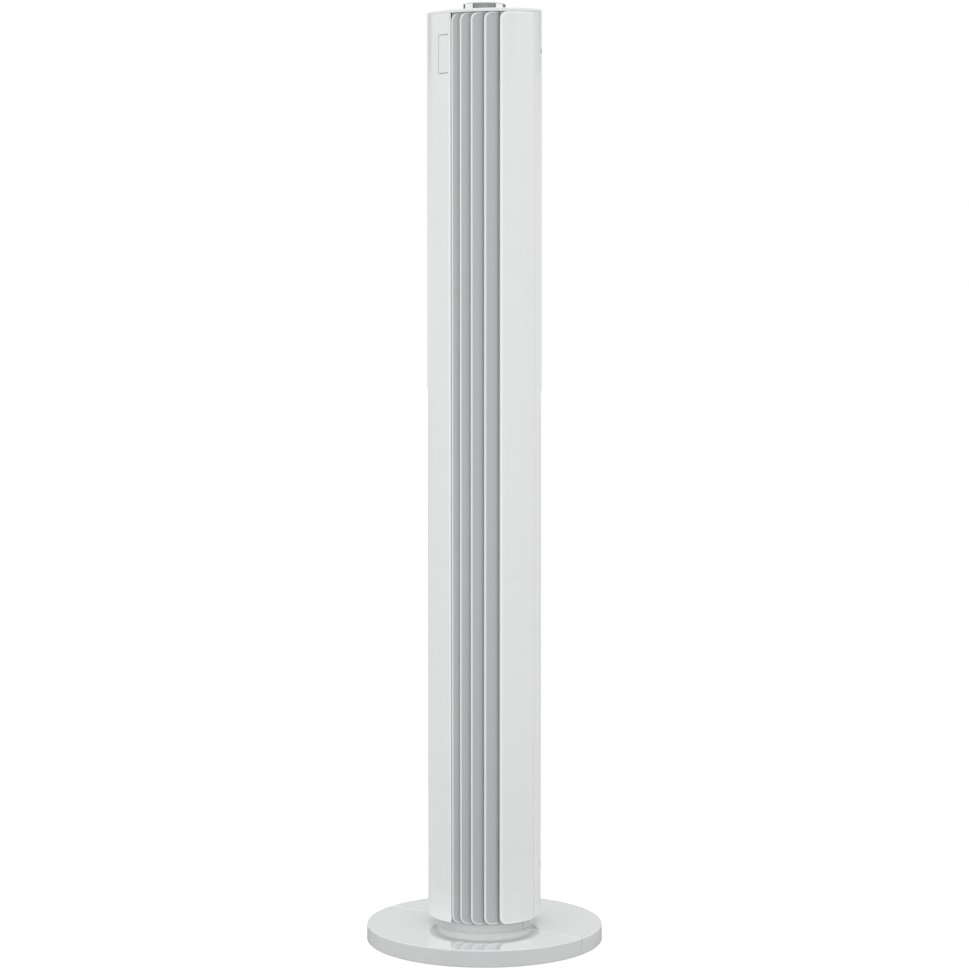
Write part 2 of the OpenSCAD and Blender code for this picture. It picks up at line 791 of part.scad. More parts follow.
// curved blade, drawn as a strip along an arc
blade_points = strip([for (i = [0 : blade_steps]) let (f = i / blade_steps)
    polar(wheel_r - 0.3 - blade_depth * (1 - f), blade_sweep * f * f)], blade_t);

module drive_shaft() color(steel) translate([wheel_x, wheel_y, motor_z + shaft_foot])
    cylinder(h = wheel_z + shaft_reach - motor_z - shaft_foot, r = shaft_r);

module wheel_coupling() color(rubber) translate([wheel_x, wheel_y, wheel_z - 4]) difference() {
    cylinder(h = 16, r = hub_r);
    translate([0, 0, -1]) cylinder(h = 15, r = shaft_r);
}

module wheel_axle() color(steel) translate([wheel_x, wheel_y, wheel_end - 12])
    union() {
        cylinder(h = upper_z + upper_t + 2 - wheel_end + 12, r = axle_r);
        cylinder(h = 12 - wheel_disc_t, r = axle_r + 3);
    }

// ---------- top and controls ----------

module top_cap() color(white) difference() {
    union() {
        translate([0, 0, top_z]) rotate([top_slope, 0, 0]) rotate_extrude() difference() {
            translate([0, -cap_t]) square([column_r, cap_t]);
            translate([column_r - cap_edge, -cap_edge]) difference() {
                square(cap_edge + 1);
                circle(cap_edge, $fn = 48);
            }
        }
        translate([0, 0, top_z - cap_collar]) cylinder(h = cap_collar - 1, r = dial_well_r + bezel_w + 2);
    }
    translate([0, 0, top_z - 20]) cylinder(h = 60, r = dial_well_r + bezel_w + fit);
}

module dial_bezel() color(chrome) translate([0, 0, top_z - bezel_depth]) difference() {
    cylinder(h = bezel_top - top_z + bezel_depth, r = dial_well_r + bezel_w);
    translate([0, 0, bezel_floor]) cylinder(h = 40, r = dial_well_r);
    translate([0, 0, -1]) cylinder(h = 10, r = sleeve_r + loose);
}

module speed_dial() color(chrome) {
    rotate_extrude() difference() {
        union() {
            translate([stem_r + loose, dial_low])
                square([dial_r - stem_r - loose, total_h - dial_low - dial_round]);
            translate([0, total_h - dial_round]) square([dial_r - dial_round, dial_round]);
            translate([dial_r - dial_round, total_h - dial_round]) circle(dial_round, $fn = 32);
            translate([stem_r + loose, board_z + board_t + 1])
                square([sleeve_r - stem_r - loose, dial_low - board_z - board_t]);
        }
        translate([0, dial_low - 40]) square([stem_r + loose, 100]);
        translate([0, total_h - dial_pocket]) square([button_r + loose, 2 * dial_pocket]);
    }
}

module power_button() color(white) {
    rotate_extrude() {
        translate([0, button_top - button_t]) square([button_r - button_round, button_t]);
        translate([0, button_top - button_t]) square([button_r, button_t - button_round]);
        translate([button_r - button_round, button_top - button_round]) circle(button_round, $fn = 24);
        translate([0, board_z + board_t + switch_h + button_travel + 0.2])
            square([stem_r, button_top - 1 - board_z - board_t - switch_h - button_travel]);
    }
}

module control_board() {
    color(board_green) difference() {
        translate([0, 0, board_z]) cylinder(h = board_t, r = control_board_r);
        for (a = board_posts) translate(concat(polar(board_post_r, a), board_z - 1))
            cylinder(h = board_t + 2, r = screw_r);
    }
    color(dark_plastic) translate([0, 0, board_z]) cylinder(h = board_t + switch_h, r = stem_r - 0.2);
}

module dial_encoder() color(dark_plastic) difference() {
    translate([-encoder_w / 2, -encoder_w / 2, board_z + board_t]) cube([encoder_w, encoder_w, encoder_h]);
    translate([0, 0, board_z]) cylinder(h = encoder_h + 10, r = sleeve_r + run);
}

module display_window() color(white) {
    translate([0, 0, window_z + window_line]) linear_extrude(window_h - 2 * window_line)
        ring_part(column_r - fit, inner_r - flange_skin / 2,
            window_start + window_line, window_end - window_line);
    translate([0, 0, window_z - window_flange]) linear_extrude(window_h + 2 * window_flange)
        ring_part(inner_r - fit / 2, inner_r - flange_skin, window_start - window_flange, window_end + 1.6);
}

module display_board() rotate([0, 0, display_a]) {
    color(board_green) translate([-11, -display_r, window_z - 3])
        cube([22, board_t, board_z - window_z + 3]);
    color(dark_plastic) translate([-7, -inner_r + 2.2, window_z + 4])
        cube([14, inner_r - 2.2 - display_r, board_z - window_z - 5]);
}

base_front();
base_rear();
base_cover();
ballast_plate();
rubber_feet();
base_screws();
swivel_hub();
hub_screws();
thrust_ring();
hub_washer();
fixed_gear();
hub_nut();
cord_gland();
column_foot();
pivot_bush();
motor_plate();
upper_plate();
front_panel();
side_panel();
slat_1();
slat_2();
slat_3();
slat_4();
slat_combs();
slat_tabs();
end_liners();
rear_shell();
shell_screws();
duct_tongue();
duct_guide();
fan_motor();
motor_damper();
swing_motor();
main_board();
axle_bush();
top_cap();
dial_bezel();
control_board();
dial_encoder();
display_window();
display_board();
air_wheel();
drive_shaft();
wheel_coupling();
wheel_axle();
swing_pinion();
speed_dial();
power_button();
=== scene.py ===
"""Looks of a slim column fan that swings on a round base.

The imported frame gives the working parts; this script adds the visible shells, the slats, the rear
louvres and the controls as smooth surfaces, dresses every part and sets up a plain bright studio.
Units are metres, +Z is up, the front faces -Y, and directions are degrees from the front towards +X.
"""

import json
import logging
import math
from dataclasses import dataclass, field
from enum import Enum

import bmesh
import bpy
import numpy as np
from numpy.typing import NDArray
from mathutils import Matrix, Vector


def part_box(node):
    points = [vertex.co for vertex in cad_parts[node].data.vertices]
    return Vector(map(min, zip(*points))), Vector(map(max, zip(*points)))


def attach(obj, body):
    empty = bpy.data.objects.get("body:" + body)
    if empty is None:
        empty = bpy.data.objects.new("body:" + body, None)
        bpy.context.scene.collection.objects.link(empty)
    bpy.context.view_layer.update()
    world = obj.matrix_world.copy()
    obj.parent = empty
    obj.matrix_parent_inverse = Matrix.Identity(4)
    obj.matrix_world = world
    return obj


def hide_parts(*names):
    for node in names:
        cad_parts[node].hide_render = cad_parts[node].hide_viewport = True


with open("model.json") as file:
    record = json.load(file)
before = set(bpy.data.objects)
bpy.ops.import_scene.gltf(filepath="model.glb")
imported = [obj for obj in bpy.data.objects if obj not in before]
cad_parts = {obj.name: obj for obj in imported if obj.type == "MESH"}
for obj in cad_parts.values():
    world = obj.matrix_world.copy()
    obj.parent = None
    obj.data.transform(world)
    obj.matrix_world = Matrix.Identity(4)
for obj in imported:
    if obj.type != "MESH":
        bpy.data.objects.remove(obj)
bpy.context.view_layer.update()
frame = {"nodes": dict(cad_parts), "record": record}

Array = NDArray[np.float64]
Colour = tuple[float, float, float]
Tree = bpy.types.NodeTree
Socket = bpy.types.NodeSocket
LOG = logging.getLogger("fan")
MM = 0.001
WELD = 2e-7
HOLD = 0.3 * MM  # a point this far beside each arc keeps the flats next to it flat
HOLD_SHARE = 0.3  # and never further along a short flat than this share of it
WHITE_LIGHT = (1.0, 1.0, 1.0, 1.0)


class Body(Enum):
    """The moving bodies of the frame."""

    STAND = "stand"
    COLUMN = "column"
    IMPELLER = "impeller"
    PINION = "pinion"
    DIAL = "dial"
    BUTTON = "button"


class Slot(Enum):
    """Material slots of the record."""

    WHITE = "white_plastic"
    SLAT = "slat_plastic"
    DARK = "dark_plastic"
    FRAME = "frame_plastic"
    STEEL = "plated_steel"
    CHROME = "chrome"
    RUBBER = "rubber"
    ACETAL = "acetal"
    BRONZE = "sintered_bronze"
    BOARD = "board"


# ---------------------------------------------------------------- surfaces


def polar(radius: Array | float, degrees: Array | float) -> Array:
    """Points of the plan at a radius and a direction.

    Formula: x is the radius times the sine, y is minus the radius times the cosine.

    Args:
        radius: Distance from the axis.
        degrees: Direction from the front towards +X.

    Returns:
        Array whose last axis is x, y.
    """
    turn = np.radians(degrees)
    return np.stack([radius * np.sin(turn), -radius * np.cos(turn)], axis=-1)


def node_box(node: str) -> tuple[Array, Array]:
    """Lowest and highest corner of a node of the frame, as arrays."""
    low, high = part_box(node)
    return np.array(low), np.array(high)


def grid_quads(rows: int, columns: int, wrap_rows: bool, wrap_columns: bool) -> NDArray[np.int64]:
    """Corner numbers of the quads of a grid whose points are numbered row by row.

    Args:
        rows: Number of rows of points.
        columns: Number of points in a row.
        wrap_rows: Whether the last row joins the first.
        wrap_columns: Whether each row's last point joins its first.

    Returns:
        Array of four point numbers a quad.
    """
    row = np.arange(rows if wrap_rows else rows - 1)[:, None]
    column = np.arange(columns if wrap_columns else columns - 1)[None, :]
    next_row = (row + 1) % rows
    next_column = (column + 1) % columns
    corners = [
        row * columns + column,
        row * columns + next_column,
        next_row * columns + next_column,
        next_row * columns + column,
    ]
    return np.stack(corners, axis=-1).reshape(-1, 4)


def make_piece(
    name: str,
    points: Array,
    quads: NDArray[np.int64],
    extra: list[list[int]] | None = None,
    edge: Array | None = None,
    smooth_angle: float = 40.0,
) -> bpy.types.Object:
    """Makes one closed mesh from points and faces, welds it and turns its faces outwards.

    Args:
        name: Name of the object.
        points: Points, one a row.
        quads: Four point numbers a face.
        extra: More faces, of any number of corners.
        edge: How far each point belongs to a rounded edge, from 0 to 1, kept as the attribute "edge" that
            places the painted edge highlight.
        smooth_angle: Edges sharper than this many degrees stay sharp.

    Returns:
        The object, at the origin.
    """
    mesh = bpy.data.meshes.new(name)
    mesh.from_pydata(points.reshape(-1, 3).tolist(), [], quads.tolist() + (extra or []))
    if edge is not None:
        weights = mesh.attributes.new("edge", "FLOAT", "POINT")
        weights.data.foreach_set("value", edge.ravel())
    work = bmesh.new()
    work.from_mesh(mesh)
    bmesh.ops.remove_doubles(work, verts=work.verts, dist=WELD)
    bmesh.ops.dissolve_degenerate(work, edges=work.edges, dist=WELD)
    bmesh.ops.recalc_face_normals(work, faces=work.faces)
    work.to_mesh(mesh)
    work.free()
    mesh.shade_smooth()
    mesh.set_sharp_from_angle(angle=math.radians(smooth_angle))
    piece = bpy.data.objects.new(name, mesh)
    bpy.context.collection.objects.link(piece)
    return piece


def cut_away(piece: bpy.types.Object, cutter: bpy.types.Object) -> None:
    """Takes one closed mesh away from another and removes the cutter.

    Args:
        piece: The mesh that keeps its name.
        cutter: The mesh that is taken away.
    """
    work = piece.modifiers.new("cut", "BOOLEAN")
    work.operation = "DIFFERENCE"
    work.solver = "EXACT"
    work.object = cutter
    done = bpy.data.meshes.new_from_object(piece.evaluated_get(bpy.context.evaluated_depsgraph_get()))
    piece.modifiers.clear()
    old = piece.data
    done.name = old.name
    piece.data = done
    bpy.data.meshes.remove(old)
    bpy.data.objects.remove(cutter)
    piece.data.set_sharp_from_angle(angle=math.radians(40.0))


def round_cutter(start: Array, end: Array, radius: float, corner: float = 0.0) -> bpy.types.Object:
    """Closed drum between two points, whose far end may have a rounded corner.

    Formula: an outline of axial places and radii is turned round the line between the points.

    Args:
        start: Middle of the near end.
        end: Middle of the far end.
        radius: Radius of the drum.
        corner: Rounding of the far end's corner.

    Returns:
        The drum.
    """
    axis = (end - start) / np.linalg.norm(end - start)
    across = np.cross(axis, [0.0, 0.0, 1.0])
    across /= np.linalg.norm(across)
    up = np.cross(axis, across)
    turn = np.linspace(0, np.pi / 2, 6)
    length = float(np.linalg.norm(end - start))
    along = np.concatenate([[0, 0], length - corner + corner * np.sin(turn), [length]])
    reach = np.concatenate([[0, radius], radius - corner + corner * np.cos(turn), [0]])
    angle = np.arange(40)[:, None] * 2 * np.pi / 40
    ray = np.cos(angle) * across + np.sin(angle) * up
    points = start + along[None, :, None] * axis + reach[None, :, None] * ray[:, None]
    return make_piece("cutter", points, grid_quads(40, len(along), True, False))


def join_grids(grids: list[Array], wrap_rows: bool, wrap_columns: bool) -> tuple[Array, NDArray[np.int64]]:
    """Stacks grids of one shape into one list of points and quads.

    Args:
        grids: Point grids of shape rows by columns by 3.
        wrap_rows: Whether the last row joins the first.
        wrap_columns: Whether each row's last point joins its first.

    Returns:
        All points and all quads.
    """
    rows, columns = grids[0].shape[:2]
    quads = grid_quads(rows, columns, wrap_rows, wrap_columns)
    steps = np.arange(len(grids))[:, None, None] * rows * columns
    return np.concatenate([g.reshape(-1, 3) for g in grids]), (quads[None] + steps).reshape(-1, 4)


def rounded_path(corners: list[tuple[float, float, float]], steps: int = 6) -> Array:
    """Closed outline through corners, each rounded by an arc of its own radius.

    Formula: an arc of radius r starts and ends at r over the tangent of half the corner's angle from the
    corner, and its points are the arc's centre plus r times a unit vector turned evenly between the two
    ends. One more point on each straight stretch, close beside each arc, keeps the stretch's normals flat.

    Args:
        corners: Each corner's two coordinates and its radius.
        steps: Number of segments in each arc.

    Returns:
        Outline points, one a row.
    """
    spots = np.array([c[:2] for c in corners])
    radii = np.array([c[2] for c in corners])
    before = np.roll(spots, 1, axis=0) - spots
    after = np.roll(spots, -1, axis=0) - spots
    before /= np.linalg.norm(before, axis=1, keepdims=True)
    after /= np.linalg.norm(after, axis=1, keepdims=True)
    half = np.arccos(np.clip((before * after).sum(1), -1, 1)) / 2
    middle = before + after
    middle /= np.linalg.norm(middle, axis=1, keepdims=True)
    centre = spots + middle * (radii / np.sin(half))[:, None]
    start = spots + before * (radii / np.tan(half))[:, None] - centre
    end = spots + after * (radii / np.tan(half))[:, None] - centre
    first = np.arctan2(start[:, 1], start[:, 0])
    turn = (np.arctan2(end[:, 1], end[:, 0]) - first + np.pi) % (2 * np.pi) - np.pi
    angle = first[:, None] + turn[:, None] * np.linspace(0, 1, steps + 1)[None]
    arcs = centre[:, None] + radii[:, None, None] * np.stack([np.cos(angle), np.sin(angle)], axis=-1)
    span = np.roll(arcs[:, 0], -1, axis=0) - arcs[:, -1]
    length = np.linalg.norm(span, axis=1, keepdims=True)
    hold = span / length * np.minimum(HOLD_SHARE * length, HOLD)
    held = [arcs[:, :1] - np.roll(hold, 1, axis=0)[:, None], arcs, arcs[:, -1:] + hold[:, None]]
    return np.concatenate(held, axis=1).reshape(-1, 2)


def revolve(outline: Array, degrees: Array) -> Array:
    """Carries an outline round the column's axis.

    Formula: each outline point keeps its height and goes round on its own radius.

    Args:
        outline: Radius and height of each point.
        degrees: Directions of the sections.

    Returns:
        Grid of points, one section a row.
    """
    plan = polar(outline[None, :, 0], degrees[:, None])
    height = np.broadcast_to(outline[None, :, 1:], plan.shape[:2] + (1,))
    return np.concatenate([plan, height], axis=-1)


@dataclass(frozen=True)
class Sides:
    """One number for each side of an upright plate."""

    left: float
    low: float
    right: float
    high: float


@dataclass(frozen=True)
class Plate:
    """An upright plate bent round the column, with its corners and all its edges rounded.

    The plate is drawn flat, with s along the column's outside and t upwards, and then bent.
    """

    width: float
    height: float
    thickness: float
    corner: Sides
    edge: Sides
    back_edge: float = 0.3 * MM
    inner_rings: int = 8
    edge_steps: int = 6
    corner_steps: int = 10
    along: int = 8
    up: int = 24

    def side_spans(self) -> list[tuple[float, float, float, int, Array]]:
        """Facts of the four corners, anticlockwise from low left, each with the side that follows it.

        Returns:
            Corner radius, the direction in which the corner starts, the edge radius of the next side,
            the number of segments on that side, and the unit signs of the corner's place.
        """
        corner, edge = self.corner, self.edge
        return [
            (corner.left, 180.0, edge.low, self.along, np.array([0, 0])),
            (corner.low, 270.0, edge.right, self.up, np.array([1, 0])),
            (corner.right, 0.0, edge.high, self.along, np.array([1, 1])),
            (corner.high, 90.0, edge.left, self.up, np.array([0, 1])),
        ]

    def edge_radii(self) -> Array:
        """Edge radius at every point of the outline, blended through each corner."""
        spans = self.side_spans()
        found = []
        for number, (_, _, following, count, _) in enumerate(spans):
            preceding = spans[number - 1][2]
            blend = np.linspace(0, 1, self.corner_steps + 1)
            found.append(preceding + (following - preceding) * blend)
            found.append(np.full(count - 1, following))
        return np.concatenate(found)

    def outline(self, inset: Array) -> Array:
        """Outline of the plate, moved inwards.

        Formula: a corner's arc keeps its centre while its radius shrinks by the inset; a side's points are
        spread evenly between its two arcs.

        Args:
            inset: Inset at every point, of shape rings by points.

        Returns:
            Places s, t, of shape rings by points by 2.
        """
        size = np.array([self.width, self.height])
        arcs = []
        place = 0
        starts = []
        for radius, first, _, count, sign in self.side_spans():
            here = inset[:, place : place + self.corner_steps + 1]
            reach = np.maximum(radius, here)
            angle = np.radians(first + 90.0 * np.linspace(0, 1, self.corner_steps + 1))[None]
            ray = np.stack(np.broadcast_arrays(np.cos(angle), np.sin(angle)), axis=-1)
            centre = sign * size + (1 - 2 * sign) * reach[..., None]
            arcs.append(centre + (reach - here)[..., None] * ray)
            starts.append(place)
            place += self.corner_steps + count
        rows = []
        for number, (_, _, _, count, _) in enumerate(self.side_spans()):
            begin, end = arcs[number][:, -1], arcs[(number + 1) % 4][:, 0]
            share = (np.arange(1, count) / count)[None, :, None]
            rows.append(arcs[number])
            rows.append(begin[:, None] + (end - begin)[:, None] * share)
        return np.concatenate(rows, axis=1)

    def rings(self, opening: "Plate | None" = None, origin: tuple[float, float] = (0, 0)) -> Array:
        """Rings of the plate's whole skin, from the middle of its face round its edge to that of its back.

        Formula: on a rounded edge the inset is its radius times one minus the sine and the depth is the
        radius times one minus the cosine of an even turn from 0 to 90 degrees.

        Args:
            opening: Rectangle left open inside the plate, whose edge radii round its rim.
            origin: Place of the opening's low left corner in the plate.

        Returns:
            Places s, t and depth, of shape rings by points by 3.
        """
        radius = self.edge_radii()[None]
        turn = np.linspace(0, np.pi / 2, self.edge_steps + 1)[:, None]
        inset = [radius * (1 - np.sin(turn))]
        depth = [radius * (1 - np.cos(turn))]
        back = np.full_like(radius, self.back_edge)
        inset.append(back * (1 - np.cos(turn)))
        depth.append(self.thickness - back * (1 - np.sin(turn)))
        around = self.outline(np.concatenate(inset))
        rim = np.concatenate([around, np.concatenate(depth)[..., None]], axis=-1)
        share = np.linspace(1, 0, self.inner_rings + 1)[:-1, None, None]
        if opening is None:
            half = np.full_like(radius, min(self.width, self.height) / 2)
            face_goal = self.outline(half)[0]
            back_goal = face_goal
            hole = []
        else:
            inner = opening.rim_inwards(self.thickness) + np.array([*origin, 0.0])
            face_goal, back_goal = inner[0, :, :2], inner[-1, :, :2]
            hole = [inner[::-1]]
        face = rim[:1, :, :2] + (face_goal - rim[:1, :, :2]) * share
        behind = rim[-1:, :, :2] + (back_goal - rim[-1:, :, :2]) * share[::-1]
        face = np.concatenate([face, np.zeros(face.shape[:2] + (1,))], axis=-1)
        behind = np.concatenate([behind, np.full(behind.shape[:2] + (1,), self.thickness)], axis=-1)
        return np.concatenate([face, rim, behind, *hole])

    def edge_highlight_weights(self, rings: Array) -> Array:
        """One on the rounding of the plate's outer edge and zero elsewhere, for each point of the rings; it
        places the painted edge highlight.
        """
        weights = np.zeros(rings.shape[:2])
        weights[self.inner_rings : self.inner_rings + self.edge_steps + 1] = 1.0
        return weights

    def rim_inwards(self, thickness: float) -> Array:
        """Skin of this rectangle as a hole in a wall, from the face to the back.

        Formula: as on an outer edge, with the inset taken outwards.

        Args:
            thickness: Thickness of the wall.

        Returns:
            Places s, t and depth, of shape rings by points by 3.
        """
        radius = self.edge_radii()[None]
        turn = np.linspace(0, np.pi / 2, self.edge_steps + 1)[:, None]
        out = np.concatenate([radius * (1 - np.sin(turn)), radius * 0])
        depth = np.concatenate([radius * (1 - np.cos(turn)), np.full_like(radius, thickness)])
        flat = self.outline(np.zeros_like(out))
        centre = np.array([self.width, self.height]) / 2
        away = np.sign(flat - centre)
        return np.concatenate([flat + away * out[..., None], depth[..., None]], axis=-1)


@dataclass(frozen=True)
class ColumnWall:
    """The round wall of the column, which plates are bent to."""

    radius: float = 61 * MM
    low: float = 29 * MM
    top: float = 0.992
    slope: float = 2.7
    rim: float = 3.6 * MM

    def height_at(self, y: Array | float) -> Array | float:
        """Height of the joint under the sloping cap: the top less the rim, plus y times the slope."""
        return self.top - self.rim + y * math.tan(math.radians(self.slope))

    def nominal(self) -> float:
        """Height of the wall at the column's middle."""
        return self.top - self.rim - self.low

    def bend(self, places: Array, start: float, tilt: float = 0.0, to_top: bool = True) -> Array:
        """Bends flat places round the column.

        Formula: s is an arc length on the outside, depth goes inwards, and the result is turned by the tilt
        about the upright line through the start. Heights are stretched so that the full height meets the
        sloping joint.

        Args:
            places: s, t and depth.
            start: Direction of s = 0.
            tilt: Turn inwards about the starting line.
            to_top: Whether heights are stretched to the sloping joint.

        Returns:
            Points in space.
        """
        s, t, depth = places[..., 0], places[..., 1], places[..., 2]
        plan = polar(self.radius - depth, start + np.degrees(s / self.radius))
        pivot = polar(self.radius, start)
        c, d = math.cos(math.radians(tilt)), math.sin(math.radians(tilt))
        plan = (plan - pivot) @ np.array([[c, d], [-d, c]]) + pivot
        stretch = (self.height_at(plan[..., 1]) - self.low) / self.nominal() if to_top else 1.0
        return np.concatenate([plan, (self.low + t * stretch)[..., None]], axis=-1)

    def arc(self, degrees: float) -> float:
        """Arc length on the outside of an angle."""
        return math.radians(degrees) * self.radius


# ---------------------------------------------------------------- finishes


@dataclass(frozen=True)
class Finish:
    """A moulded or machined finish: base colour, gloss, fine texture and a little unevenness."""

    name: str
    colour: Colour
    roughness: float
    unevenness: float = 0.02
    patch_size: float = 60.0
    grain_size: float = 1400.0
    grain_height: float = 0.0
    gloss_change: float = 0.04
    metallic: float = 0.0
    coat: float = 0.0
    coat_roughness: float = 0.05
    # paler colour on rounded edges: a painted highlight
    edge_highlight_colour: Colour | None = None
    drift_size: float = 2.3
    patch_detail: float = 3.0
    drift_detail: float = 4.0
    grain_detail: float = 2.0

    def build(self) -> bpy.types.Material:
        """Makes the material from Object coordinates.

        Returns:
            The material.
        """
        material = bpy.data.materials.new(self.name)
        material.use_nodes = True
        tree = material.node_tree
        shader = tree.nodes["Principled BSDF"]
        shader.inputs["Metallic"].default_value = self.metallic
        shader.inputs["Coat Weight"].default_value = self.coat
        shader.inputs["Coat Roughness"].default_value = self.coat_roughness
        place = add_node(tree, "TexCoord").outputs["Object"]
        self.colour_nodes(tree, place, shader)
        self.gloss_nodes(tree, place, shader)
        self.relief_nodes(tree, place, shader)
        return material

    def colour_nodes(self, tree: Tree, place: Socket, shader: bpy.types.Node) -> None:
        """Base colour with faint cloudy patches, and a painted highlight, a paler colour on rounded edges,
        where the finish has one.

        Args:
            tree: The material's nodes.
            place: Socket that gives the coordinates.
            shader: The surface shader.
        """
        cloud = noise(tree, place, self.patch_size, self.patch_detail)
        patches = {
            "Factor": cloud,
            "A": shade(self.colour, 1 - self.unevenness),
            "B": shade(self.colour, 1 + self.unevenness),
        }
        colour = add_node(tree, "Mix", patches, data_type="RGBA").outputs["Result"]
        if self.edge_highlight_colour is not None:
            # painted highlight: the edge attribute blends in the paler edge colour
            edge = add_node(tree, "Attribute", attribute_name="edge").outputs["Fac"]
            lit = {"Factor": edge, "A": colour, "B": shade(self.edge_highlight_colour, 1.0)}
            colour = add_node(tree, "Mix", lit, data_type="RGBA").outputs["Result"]
        tree.links.new(colour, shader.inputs["Base Color"])

    def gloss_nodes(self, tree: Tree, place: Socket, shader: bpy.types.Node) -> None:
        """Roughness that drifts a little over the surface.

        Args:
            tree: The material's nodes.
            place: Socket that gives the coordinates.
            shader: The surface shader.
        """
        drift = noise(tree, place, self.patch_size * self.drift_size, self.drift_detail)
        low, high = max(self.roughness - self.gloss_change, 0.01), self.roughness + self.gloss_change
        span = add_node(tree, "MapRange", {"Value": drift, "To Min": low, "To Max": high})
        tree.links.new(span.outputs["Result"], shader.inputs["Roughness"])

    def relief_nodes(self, tree: Tree, place: Socket, shader: bpy.types.Node) -> None:
        """Fine grain as a bump.

        Args:
            tree: The material's nodes.
            place: Socket that gives the coordinates.
            shader: The surface shader.
        """
        if self.grain_height <= 0:
            return
        grain = noise(tree, place, self.grain_size, self.grain_detail)
        bump = add_node(tree, "Bump", {"Height": grain, "Strength": 1.0, "Distance": self.grain_height})
        tree.links.new(bump.outputs["Normal"], shader.inputs["Normal"])


def add_node(
    tree: Tree, kind: str, values: dict[str | int, object] | None = None, **options: object
) -> bpy.types.Node:
    """Adds a shader node.

    Args:
        tree: The nodes to add to.
        kind: Type of the node, without its first part.
        values: Inputs by name or number, each with a plain value or with the socket to link to it.
        options: Settings of the node.

    Returns:
        The node.
    """
    node = tree.nodes.new(f"ShaderNode{kind}")
    for option, setting in options.items():
        setattr(node, option, setting)
    for key, value in (values or {}).items():
        if isinstance(value, bpy.types.NodeSocket):
            tree.links.new(value, node.inputs[key])
        else:
            node.inputs[key].default_value = value
    return node


def noise(tree: Tree, place: Socket, scale: float, detail: float) -> Socket:
    """Noise texture on given coordinates.

    Args:
        tree: The material's nodes.
        place: Socket that gives the coordinates.
        scale: Features a metre.
        detail: Octaves.

    Returns:
        Socket with the noise.
    """
    texture = add_node(tree, "TexNoise", {"Vector": place, "Scale": scale, "Detail": detail})
    return texture.outputs["Fac"]


def shade(colour: Colour, factor: float) -> tuple[float, float, float, float]:
    """Colour times a factor, with full alpha."""
    return tuple(min(c * factor, 1.0) for c in colour) + (1.0,)


class Finishes:
    """Every finish of the fan, built once."""

    def __init__(self) -> None:
        """Builds the materials."""
        white: Colour = (0.80, 0.81, 0.81)
        grey: Colour = (0.62, 0.63, 0.65)
        # pale and lip are painted highlights for the rounded edges of the shell and of the slats
        pale: Colour = (0.90, 0.91, 0.91)
        lip: Colour = (0.84, 0.85, 0.85)
        # slat face grey: partly a greyer plastic, partly painted shade of the recess under the next slat's
        # free edge
        face: Colour = (0.487, 0.493, 0.51)
        smooth, fine, coarse = 0.000004, 0.00001, 0.00003
        self.shell = Finish(
            "white_shell", white, 0.24, grain_height=smooth, coat=0.3, edge_highlight_colour=pale
        ).build()
        self.base = Finish("glossy_base", (0.76, 0.77, 0.77), 0.06, gloss_change=0.02, coat=1.0).build()
        self.slat = Finish("slat_face", face, 0.30, grain_height=smooth, edge_highlight_colour=lip).build()
        self.window = Finish("window_lens", (0.78, 0.79, 0.79), 0.10, coat=0.6).build()
        self.frame = Finish("frame_moulding", grey, 0.42, grain_height=fine).build()
        self.dark = Finish("dark_moulding", (0.035, 0.037, 0.04), 0.5, grain_height=fine).build()
        self.under = Finish(
            "under_cover", (0.05, 0.052, 0.055), 0.55, grain_height=coarse, grain_size=900
        ).build()
        self.steel = Finish(
            "zinc_steel",
            (0.60, 0.61, 0.63),
            0.30,
            unevenness=0.06,
            metallic=1.0,
            grain_height=smooth,
            grain_size=500,
        ).build()
        self.chrome = Finish(
            "chrome_plate", (0.86, 0.87, 0.88), 0.06, unevenness=0.01, metallic=1.0, gloss_change=0.02
        ).build()
        self.rubber = Finish(
            "rubber", (0.03, 0.03, 0.03), 0.75, grain_height=0.00002, grain_size=2500
        ).build()
        self.acetal = Finish("acetal", (0.78, 0.77, 0.72), 0.35, grain_height=0.000003).build()
        self.bronze = Finish(
            "bush_bronze", (0.55, 0.33, 0.16), 0.4, unevenness=0.12, metallic=1.0, patch_size=400
        ).build()
        self.board = Finish("board_lacquer", (0.02, 0.12, 0.06), 0.3, unevenness=0.2, patch_size=300).build()

    def for_slot(self, slot: str) -> bpy.types.Material:
        """Finish of a carried node by its material slot.

        Args:
            slot: Name of the record's slot.

        Returns:
            The material.
        """
        return {
            Slot.WHITE.value: self.shell,
            Slot.SLAT.value: self.slat,
            Slot.DARK.value: self.dark,
            Slot.FRAME.value: self.frame,
            Slot.STEEL.value: self.steel,
            Slot.CHROME.value: self.chrome,
            Slot.RUBBER.value: self.rubber,
            Slot.ACETAL.value: self.acetal,
            Slot.BRONZE.value: self.bronze,
            Slot.BOARD.value: self.board,
        }[slot]


def dress(
    piece: bpy.types.Object, material: bpy.types.Material, body: Body, slot: Slot, *nodes: str
) -> bpy.types.Object:
    """Gives a new piece its material, its body and the nodes it stands for, and reports it.

    Args:
        piece: The new piece.
        material: Its finish.
        body: The body that it rides on.
        slot: The record's slot; not used.
        nodes: Nodes of the frame that it replaces.

    Returns:
        The piece.
    """
    piece.data.materials.append(material)
    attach(piece, body.value)
    if nodes:
        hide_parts(*nodes)
    LOG.info("%s: %d faces on %s", piece.name, len(piece.data.polygons), body.value)
    return piece


# ---------------------------------------------------------------- sub-assemblies


